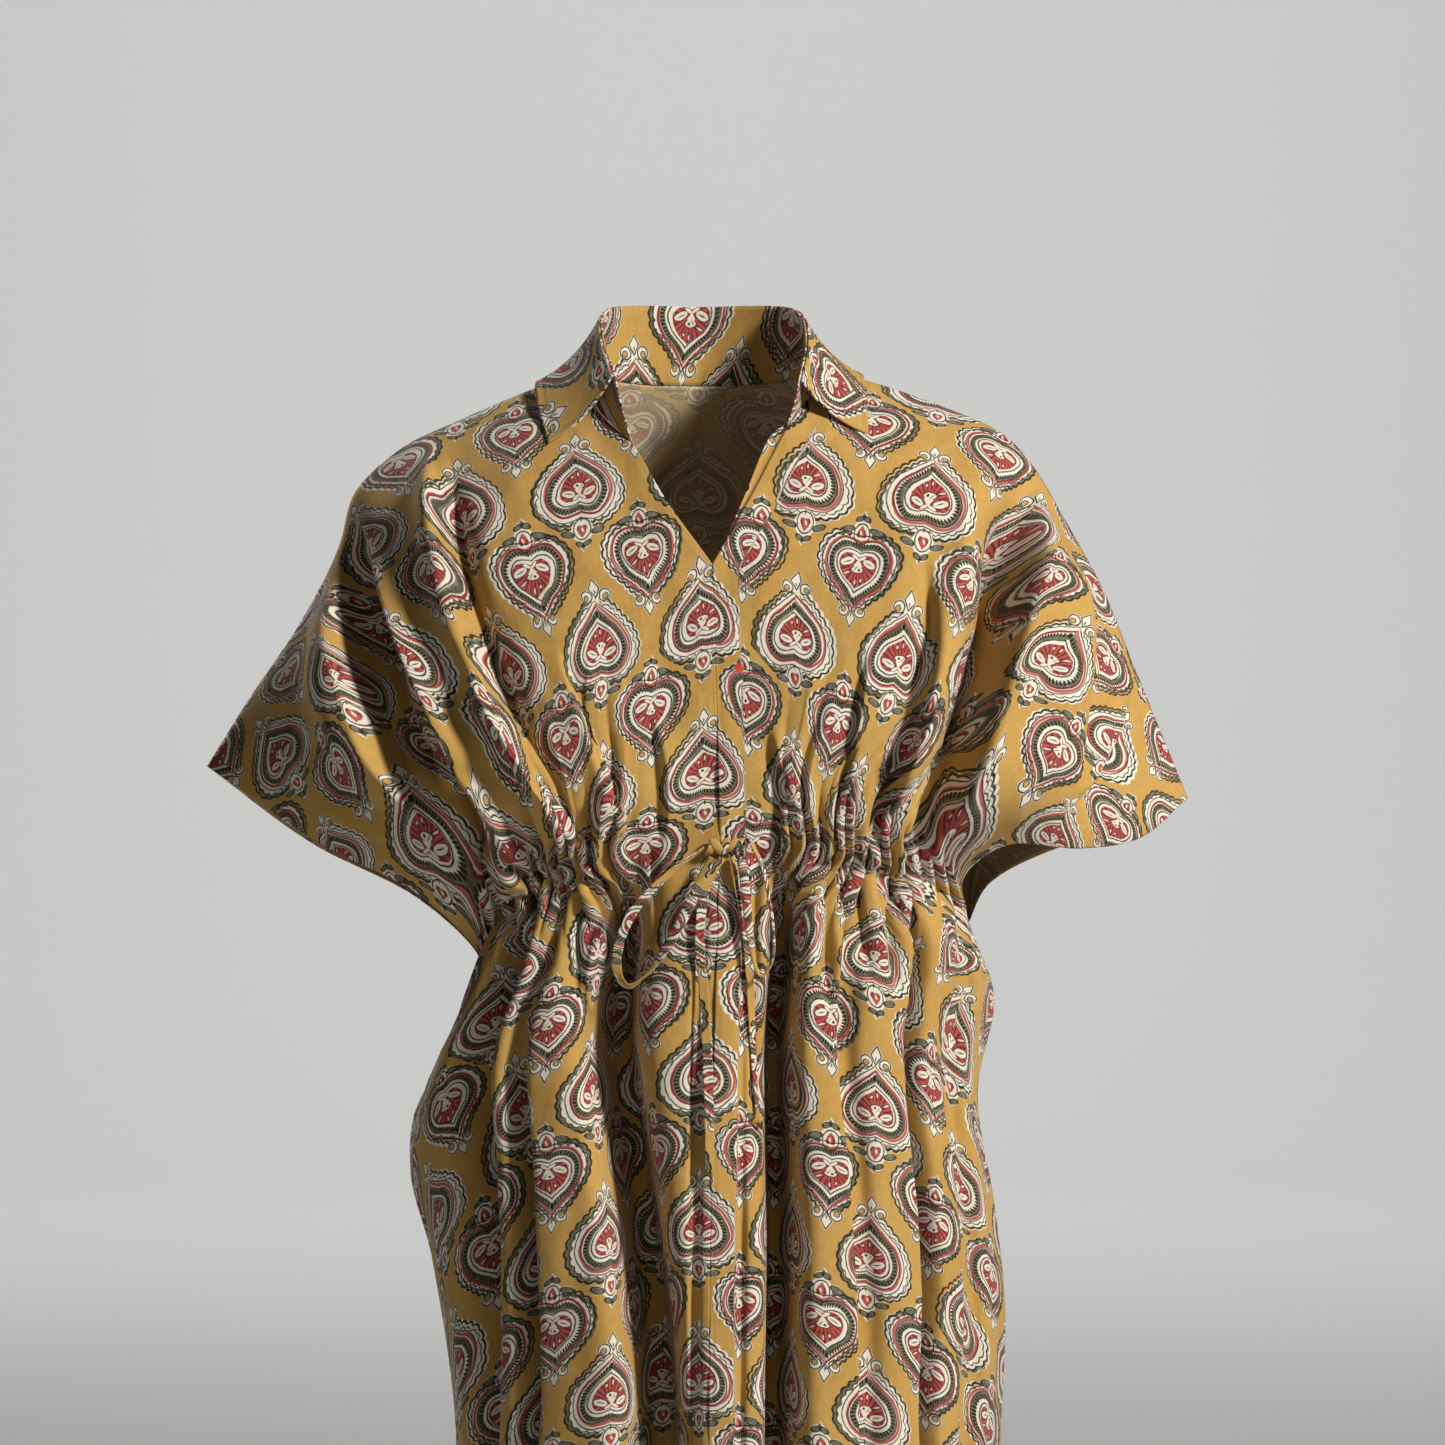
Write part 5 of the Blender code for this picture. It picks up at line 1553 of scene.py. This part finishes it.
def wear_height(tree, cut, threads):
    """Height of the threads on soft crumples and sharper creases, in metres."""
    crumple = noise(tree, cut, CRUMPLE_FINE, 3.0, 0.55)
    creases = (noise(tree, cut, CRUMPLE_BROAD) - 0.5).size().maths("POWER", 0.7)
    return threads * THREAD_HEIGHT + crumple * CRUMPLE_HEIGHT + creases * CREASE_HEIGHT


def red_blot(tree):
    """The drop of dye, as a mask that reads the front's place alone."""
    x, y, z = parted(tree, tree.nodes.new("ShaderNodeTexCoord").outputs["Object"])
    far = distance(x - BLOT_PLACE[0], (z - BLOT_PLACE[1]) * 0.8) - BLOT_RADIUS
    return far.inside(BLOT_RADIUS * 0.5) * y.maths("LESS_THAN", 0.0)


def sewn_cloth(tree, cut, colour, height):
    """Rows of stitches, which lie in a shallow groove, and the blot, added to a colour and a height."""
    place = tree.nodes.new("ShaderNodeAttribute")
    place.attribute_name = "stitch_distance"
    beside = Field(tree, place.outputs["Fac"])
    u, v, _ = parted(tree, cut)
    dash = ((u + v) * (2 * math.pi / STITCH_LENGTH)).sine().share(STITCH_COVER)
    sewn = (beside - STITCH_HALF).inside(STITCH_HALF) * dash
    groove = (beside - STITCH_GROOVE).inside(STITCH_GROOVE * 2)
    colour = tinted(tree, sewn * 0.85, colour, STITCH)
    height = height + sewn * STITCH_HALF - groove * (STITCH_HALF * 2.0)
    return tinted(tree, red_blot(tree), colour, BLOT), height


def printed_cotton(name, reverse=False, stitched=False):
    """The printed cotton's right side, or its paler reverse where the dye only shows through."""
    material = bpy.data.materials.new(name)
    material.use_nodes = True
    tree = material.node_tree
    shader = tree.nodes["Principled BSDF"]
    place = tree.nodes.new("ShaderNodeUVMap")
    place.uv_map = "cut"
    cut = place.outputs[0]
    colour = block_print(tree, cut)
    threads = weave_height(tree, cut)
    height = wear_height(tree, cut, threads)
    if stitched:
        colour, height = sewn_cloth(tree, cut, colour, height)
    if reverse:
        colour = tinted(tree, 0.55, colour, REVERSE)
    # Painted shade: the colour darkens a little where the threads lie low and lightens where they stand up
    shade = tree.nodes.new("ShaderNodeVectorMath")
    shade.operation = "SCALE"
    tree.links.new(colour, shade.inputs[0])
    tree.links.new(((threads - 1.0) * 0.10 + 1.0).socket, shade.inputs["Scale"])
    tree.links.new(shade.outputs[0], shader.inputs["Base Color"])
    bump = tree.nodes.new("ShaderNodeBump")
    bump.inputs["Strength"].default_value = 0.55
    bump.inputs["Distance"].default_value = 1.0
    tree.links.new(height.socket, bump.inputs["Height"])
    tree.links.new(bump.outputs[0], shader.inputs["Normal"])
    shader.inputs["Roughness"].default_value = 0.86
    shader.inputs["Specular IOR Level"].default_value = 0.25
    shader.inputs["Sheen Weight"].default_value = 0.12
    shader.inputs["Sheen Roughness"].default_value = 0.5
    return material


def evenly(points, count):
    """A polyline's points spread evenly along it."""
    along = arc_along(points[None])
    return at_arc(points[None], along, np.linspace(0.0, along[:, -1], count).T)[0]


def neck_seam(count):
    """Points along the neck seam, from the right end of the collar round the back to the left end."""
    front_right = spline(NECK[RIGHT], np.linspace(STAND_END[RIGHT], 0.0, count))
    back_right = spline(BACK_NECK, np.linspace(1.0, 0.0, count))
    back_left = spline(back_neck_places(LEFT), np.linspace(0.0, 1.0, count))
    front_left = spline(NECK[LEFT], np.linspace(0.0, STAND_END[LEFT], count))
    return np.concatenate([front_right, back_right[1:], back_left[1:], front_left[1:]])


def outward_from_neck(points):
    """Level directions away from the neck's axis."""
    return unit(points * np.array([1.0, 1.0, 0.0]))


def strip_cut(points, print_place):
    """A flat cut for a strip of cloth: distance along its first row, and down from it."""
    along = arc_along(points[:1])[0]
    down = running(np.linalg.norm(np.diff(points, axis=0), axis=2).mean(axis=1))
    u, v = np.broadcast_arrays(along[None, :] + print_place[0], down[:, None] + print_place[1])
    return np.stack([u, v], axis=2)


def edge_distance(flat):
    """Each point's distance to the nearest edge of its piece in the flat cut."""
    low = flat.min(axis=(0, 1))
    high = flat.max(axis=(0, 1))
    return np.minimum(flat - low, high - flat).min(axis=2)


def collar_stand():
    """The upright band between the neck seam and the collar's fold."""
    lower = evenly(neck_seam(NECK_SEAM_STEPS), COLLAR_STEPS)
    upper = spline(COLLAR_FOLD, np.linspace(0.0, 1.0, COLLAR_STEPS))
    shares = np.linspace(0.0, 1.0, STAND_STEPS)[:, None, None]
    points = upper + (lower - upper) * shares
    bow = np.sin(np.pi * shares) * STAND_BOW
    return points + outward_from_neck(upper)[None] * bow


def collar_leaf():
    """The part that falls from the fold to its points and lies on the shoulders."""
    shares = np.linspace(0.0, 1.0, COLLAR_STEPS)
    fold = spline(COLLAR_FOLD, shares)
    fold = fold + outward_from_neck(fold) * FOLD_PROUD
    edge = spline(COLLAR_EDGE, shares)
    turn = fold + (edge - fold) * np.array(LEAF_TURN)
    t = np.linspace(0.0, 1.0, LEAF_STEPS)[:, None, None]
    points = (1 - t) ** 2 * fold + 2 * t * (1 - t) * turn + t**2 * edge
    ripple = sum(size * np.sin(2 * np.pi * (waves * shares + start)) for size, waves, start in LEAF_WAVES)
    return points + normals_of(points, -1) * (ripple[None, :, None] * t * LEAF_RIPPLE)


def collar():
    """The stand and the leaf, each of two layers of the printed cotton."""
    face = bpy.data.materials["printed_cotton_stitched"]
    for name, points, print_place, thick in (
        ("collar_stand", collar_stand(), (0.31, 0.030), STAND_THICK),
        ("collar_leaf", collar_leaf(), (0.285, 0.005), LEAF_THICK),
    ):
        up_and_away = outward_from_neck(points[0])[None] + np.array([0.0, 0.0, 0.5])
        outward = np.broadcast_to(up_and_away, points.shape)
        flat = strip_cut(points, print_place)
        piece = cloth_sheet(
            name + "_cloth", points, flat, outward, (face, face),
            stitches=np.abs(edge_distance(flat) - COLLAR_STITCH), thickness=thick,
        )
        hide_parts(name)
        declare(flat)


def rolled_edge(points, flat, outward):
    """The strip with its edge rolled out past the opening, but not at its two ends."""
    beyond = unit(points[:, :1] - points[:, 1:2])
    down = np.linspace(0.0, 1.0, len(points))[:, None, None]
    reach = ROLL_WIDTH * smooth_step((down - ROLL_START) / ROLL_RISE)
    reach = reach * smooth_step((1.0 - down) / ROLL_END)
    steps = np.linspace(1.0, 0.0, ROLL_STEPS, endpoint=False)[None, :, None]
    dip = ROLL_DIP * np.sin(np.pi * steps)
    rolled = points[:, :1] + beyond * reach * steps - outward[:, :1] * dip
    cut = np.repeat(flat[:, :1], ROLL_STEPS, axis=1)
    cut[..., 0] -= (reach * steps)[..., 0]
    away = np.repeat(outward[:, :1], ROLL_STEPS, axis=1)
    return (
        np.concatenate([rolled, points], axis=1),
        np.concatenate([cut, flat], axis=1),
        np.concatenate([away, outward], axis=1),
    )


def facings(panels_made):
    """The turned strips inside the V opening, printed side in."""
    face = bpy.data.materials["printed_cotton_face"]
    rows = round(BODICE_STEPS * V_SHARE) + 1
    for name, side in (("neck_facing_right", "front_right"), ("neck_facing_left", "front_left")):
        points, flat, outward = (grid[:rows, :FACING_STEPS] for grid in panels_made[side])
        inner = points - outward * (CLOTH + FACING_GAP + FACING_THICK)
        if side == "front_right":
            inner, flat, outward = rolled_edge(inner, flat, outward)
        piece = cloth_sheet(
            name + "_cloth", inner, flat, -outward, (face, face), thickness=FACING_THICK
        )
        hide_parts(name)
        declare(flat)


def waist_casing(panels_made):
    """The channel inside the fronts that the drawstring runs through."""
    reverse = bpy.data.materials["printed_cotton_reverse"]
    first = round(BODICE_STEPS * CASING_ABOVE)
    below = (CASING_HEIGHT / 2 / (LENGTH - CASING_DROP)) ** (1 / SKIRT_CROWDING)
    last = BODICE_STEPS + 1 + round(SKIRT_STEPS * below)
    columns = round(CASING_SHARE * PANEL_COLUMNS)
    layers = []
    for left, right in zip(panels_made["front_left"], panels_made["front_right"]):
        both = [left[first:last, columns:0:-1], right[first:last, :columns]]
        layers.append(np.concatenate(both, axis=1))
    points, flat, outward = layers
    inner = points - outward * (CLOTH + CASING_GAP)
    piece = cloth_sheet(
        "waist_casing_cloth", inner, flat, outward, (reverse, reverse), thickness=FACING_THICK
    )
    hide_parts("waist_casing")
    declare(flat)


def ring_points(width, thick, count):
    """The outline of the tape's section: a flat loop with rounded ends."""
    angle = np.linspace(0.0, 2 * np.pi, count)
    across = np.sign(np.cos(angle)) * np.abs(np.cos(angle)) ** SECTION_FLATNESS * width / 2
    through = np.sin(angle) * thick / 2
    return across, through


def tape(name, route, turns, print_place, material):
    """A stretch of the drawstring: the flat section carried along a smooth curve through its route."""
    places = [Place(i / (len(route) - 1), *point) for i, point in enumerate(route)]
    fine = spline(places, np.linspace(0.0, 1.0, ROUTE_STEPS))
    length = float(arc_along(fine[None])[0, -1])
    steps = round(length / TAPE_STEP)
    centre = evenly(fine, steps)
    along = unit(np.gradient(centre, axis=0))
    facing = np.array([0.0, -1.0, 0.0])
    facing = unit(facing - (along @ facing)[:, None] * along)
    level = np.cross(along, facing)
    share = np.linspace(0.0, 1.0, steps)
    knots = [turn.share for turn in turns]
    angle = np.radians(np.interp(share, knots, [turn.degrees for turn in turns]))
    window = 2 * TURN_SOFTNESS + 1
    angle = np.convolve(np.pad(angle, TURN_SOFTNESS, mode="edge"), np.ones(window) / window, mode="valid")
    width = np.interp(share, knots, [turn.width for turn in turns])
    width = width * (1.0 + sum(size * np.sin(share * waves) for size, waves in TAPE_UNEVEN))
    across, through = ring_points(TAPE_WIDTH, TAPE_THICK, TAPE_RING + 1)
    cup = TAPE_THICK * TAPE_CUP * (across / TAPE_WIDTH * 2) ** 2
    side = np.cos(angle)[:, None] * level + np.sin(angle)[:, None] * facing
    face = -np.sin(angle)[:, None] * level + np.cos(angle)[:, None] * facing
    points = centre[:, None] + side[:, None] * (across[None, :] * width[:, None])[..., None]
    plump = through[None, :] * (1.0 + TAPE_PLUMP * (1.0 - width[:, None])) + cup[None, :]
    points = points + face[:, None] * plump[..., None]
    u = np.broadcast_to(across[None, :] * np.sign(through[None, :] + 1e-9), points.shape[:2])
    v = np.broadcast_to((share * length)[:, None], points.shape[:2])
    flat = np.stack([u + print_place[0], v + print_place[1]], axis=2)
    return closed_tube(name, points, flat, material), centre, length


def closed_tube(name, points, flat, material):
    """A tube carried onto rings of points, its seam joined and its ends filled."""
    rows, columns = points.shape[:2]
    mesh = bmesh.new()
    layer = mesh.loops.layers.uv.new("cut")
    bmesh.ops.create_grid(mesh, x_segments=columns - 1, y_segments=rows - 1, size=0.5)
    mesh.verts.ensure_lookup_table()
    flat_row = flat.reshape(-1, 2)
    for face in mesh.faces:
        for loop in face.loops:
            u, v = flat_row[loop.vert.index]
            loop[layer].uv = (u, -v)
    for vert, point in zip(mesh.verts, points.reshape(-1, 3)):
        vert.co = point
    bmesh.ops.remove_doubles(mesh, verts=mesh.verts, dist=SEAM_JOIN)
    bmesh.ops.holes_fill(mesh, edges=[e for e in mesh.edges if e.is_boundary], sides=0)
    bmesh.ops.recalc_face_normals(mesh, faces=mesh.faces)
    data = bpy.data.meshes.new(name)
    mesh.to_mesh(data)
    mesh.free()
    return cotton_piece(name, data, [material])


def drawstring():
    """The bow's two loops and two free ends, and its knots."""
    face = bpy.data.materials["printed_cotton_face"]
    knot = wound_knot("drawstring_knot_cloth", KNOT_CENTRE, KNOT_WRAPS, math.radians(KNOT_TURN), face)
    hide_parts("drawstring_knot")
    end_knot = wound_knot("drawstring_end_knot_cloth", END_KNOT_CENTRE, END_KNOT_WRAPS, 0.0, face)
    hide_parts("drawstring_end_knot")
    for name, route in CORD_ROUTES.items():
        piece, centre, length = tape(name + "_tape", route, TAPE_TURNS[name], TAPE_PRINT[name], face)
        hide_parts(name)


def wound_knot(name, centre, wraps, turn, material):
    """A pulled knot: the tape's own strand wound round it, each wrap a tilted, flattened ring."""
    cosine, sine = math.cos(turn), math.sin(turn)
    turned = np.array([[cosine, 0.0, sine], [0.0, 1.0, 0.0], [-sine, 0.0, cosine]])
    parts = []
    for wrap in wraps:
        angle = np.linspace(0.0, 2 * np.pi, WRAP_STEPS + 1)
        across, through = ring_points(wrap.width, wrap.thick, WRAP_RING + 1)
        tilt = math.tan(math.radians(wrap.tilt))
        radial = np.stack([np.zeros_like(angle), np.cos(angle), np.sin(angle)], axis=1)
        middle = radial * wrap.radius
        middle[:, 0] = wrap.place + tilt * wrap.radius * np.sin(angle)
        along = np.gradient(middle, axis=0)
        along[0] = along[-1] = along[0] + along[-1]
        side = np.cross(unit(along), radial)
        points = middle[:, None] + side[:, None] * across[None, :, None]
        points = points + radial[:, None] * through[None, :, None]
        u = across[None, :] + WRAP_PRINT[0] + wrap.place * 3
        v = (angle * wrap.radius)[:, None] + WRAP_PRINT[1] + wrap.place * 5
        flat = np.stack(np.broadcast_arrays(u, v), axis=2)
        parts.append(closed_tube(name, points @ turned.T + np.array(centre), flat, material))
    whole = parts[0]
    mesh = bmesh.new()
    for part in parts:
        mesh.from_mesh(part.data)
    for part in parts[1:]:
        bpy.data.objects.remove(part, do_unlink=True)
    mesh.to_mesh(whole.data)
    mesh.free()
    whole.data.shade_smooth()
    return whole


def camera():
    """A long lens level with the chest."""
    data = bpy.data.cameras.new("camera")
    data.sensor_width = SENSOR
    data.lens = SENSOR * VIEW_DISTANCE / VIEW_WIDTH
    eye = put_in_scene("camera", data)
    eye.location = (VIEW_CENTRE[0], -VIEW_DISTANCE, VIEW_CENTRE[2] + VIEW_HEIGHT)
    aim = Vector(VIEW_CENTRE) - eye.location
    eye.rotation_euler = aim.to_track_quat("-Z", "Y").to_euler()
    bpy.context.scene.camera = eye


def soft_lamp(lamp):
    """A soft light that faces its aim."""
    data = bpy.data.lights.new(lamp.name, "AREA")
    data.shape = "RECTANGLE"
    data.size, data.size_y = lamp.size
    data.energy = lamp.power
    data.color = lamp.colour
    thing = put_in_scene(lamp.name, data)
    thing.location = lamp.place
    aim = Vector(lamp.aim) - Vector(lamp.place)
    thing.rotation_euler = aim.to_track_quat("-Z", "Y").to_euler()


def seen_by_camera(tree, shader, output, tone_kind, share=None):
    """Adds a pale tone to what the camera alone sees of a shader, by a share from 0 to 1: the world's
    pale backdrop, and on the floor painted light, a glow that stands in for lamplight.
    """
    seen = Field(tree, tree.nodes.new("ShaderNodeLightPath").outputs["Is Camera Ray"])
    if share is not None:
        seen = seen * share
    tone = tree.nodes.new(tone_kind)
    tone.inputs["Color"].default_value = BACKDROP_AND_FLOOR_GLOW
    tree.links.new(seen.socket, tone.inputs["Strength"])
    total = tree.nodes.new("ShaderNodeAddShader")
    tree.links.new(shader.outputs[0], total.inputs[0])
    tree.links.new(tone.outputs[0], total.inputs[1])
    tree.links.new(total.outputs[0], tree.nodes[output].inputs["Surface"])


def far_floor(tree):
    """Where the floor's painted glow shows: 1 far from the garment, 0 near it and on the wall's side,
    which has a lamp of its own.
    """
    x, y, z = parted(tree, tree.nodes.new("ShaderNodeNewGeometry").outputs["Position"])
    return distance(x, y, z).fade(*FAR_FLOOR) * y.fade(*WALL_SIDE)


def room_light():
    """A little light from all round."""
    world = bpy.data.worlds.new("studio")
    bpy.context.scene.world = world
    world.use_nodes = True
    backdrop = world.node_tree.nodes["Background"]
    backdrop.inputs["Color"].default_value = ROOM_LIGHT
    backdrop.inputs["Strength"].default_value = ROOM_STRENGTH
    seen_by_camera(world.node_tree, backdrop, "World Output", "ShaderNodeBackground")


def floor_paint_and_glow():
    """The floor's plain pale paint, and painted light: a glow far from the garment that the camera
    alone sees.
    """
    paint = bpy.data.materials.new("floor")
    paint.use_nodes = True
    tree = paint.node_tree
    shader = tree.nodes["Principled BSDF"]
    shader.inputs["Base Color"].default_value = FLOOR_COLOUR
    shader.inputs["Roughness"].default_value = 0.9
    # Painted light: far from the garment the floor glows to the camera alone, and lights nothing
    seen_by_camera(tree, shader, "Material Output", "ShaderNodeEmission", far_floor(tree))
    return paint


def floor():
    """A pale floor that sweeps up into a wall behind."""
    mesh = bmesh.new()
    bmesh.ops.create_grid(mesh, x_segments=1, y_segments=1, size=FLOOR_REACH)
    bmesh.ops.translate(mesh, vec=(0.0, 0.0, HEM_LEVEL - HEM_CLEAR), verts=mesh.verts)
    rear = [edge for edge in mesh.edges if all(vert.co.y > FLOOR_REACH - 0.1 for vert in edge.verts)]
    rise = bmesh.ops.extrude_edge_only(mesh, edges=rear)["geom"]
    top = [part for part in rise if isinstance(part, bmesh.types.BMVert)]
    bmesh.ops.translate(mesh, vec=(0.0, 0.0, WALL_HEIGHT), verts=top)
    bmesh.ops.recalc_face_normals(mesh, faces=mesh.faces[:])
    data = bpy.data.meshes.new("floor")
    mesh.to_mesh(data)
    mesh.free()
    piece = put_in_scene("floor", data)
    sweep = piece.modifiers.new("sweep", "BEVEL")
    sweep.width = SWEEP_WIDTH
    sweep.segments = 24
    data.materials.append(floor_paint_and_glow())
    data.shade_smooth()


def panels(right_side, reverse_side):
    """Two fronts and the back; gives the fronts' points, flat cut and outward directions."""
    made = {}
    for name, side in (("front_right", RIGHT), ("front_left", LEFT)):
        points, flat = front_half(side)
        outward = normals_of(points, -1)
        sewn = panel_stitches(flat, -1)
        piece = cloth_sheet(name + "_cloth", points, flat, outward, (right_side, reverse_side), sewn)
        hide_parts(name)
        declare(flat)
        made[name] = (points, flat, outward)
    halves = []
    for side in (LEFT, RIGHT):
        points, flat = back_half(side)
        halves.append((points, flat, panel_stitches(flat, 1)))
    points, flat, sewn = (
        np.concatenate([left[:, :0:-1], right], axis=1) for left, right in zip(*halves)
    )
    outward = normals_of(points, 1)
    piece = cloth_sheet("back_cloth", points, flat, outward, (right_side, reverse_side), sewn)
    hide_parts("back")
    declare(flat)
    return made


def main():
    """The stage first, then the cotton, and the pieces that are made of it."""
    bpy.context.scene.view_settings.view_transform = "Standard"
    camera()
    room_light()
    floor()
    for lamp in LAMPS:
        soft_lamp(lamp)
    right_side = printed_cotton("printed_cotton_stitched", stitched=True)
    printed_cotton("printed_cotton_face")
    reverse_side = printed_cotton("printed_cotton_reverse", reverse=True)
    made = panels(right_side, reverse_side)
    drawstring()
    collar()
    facings(made)
    waist_casing(made)


main()
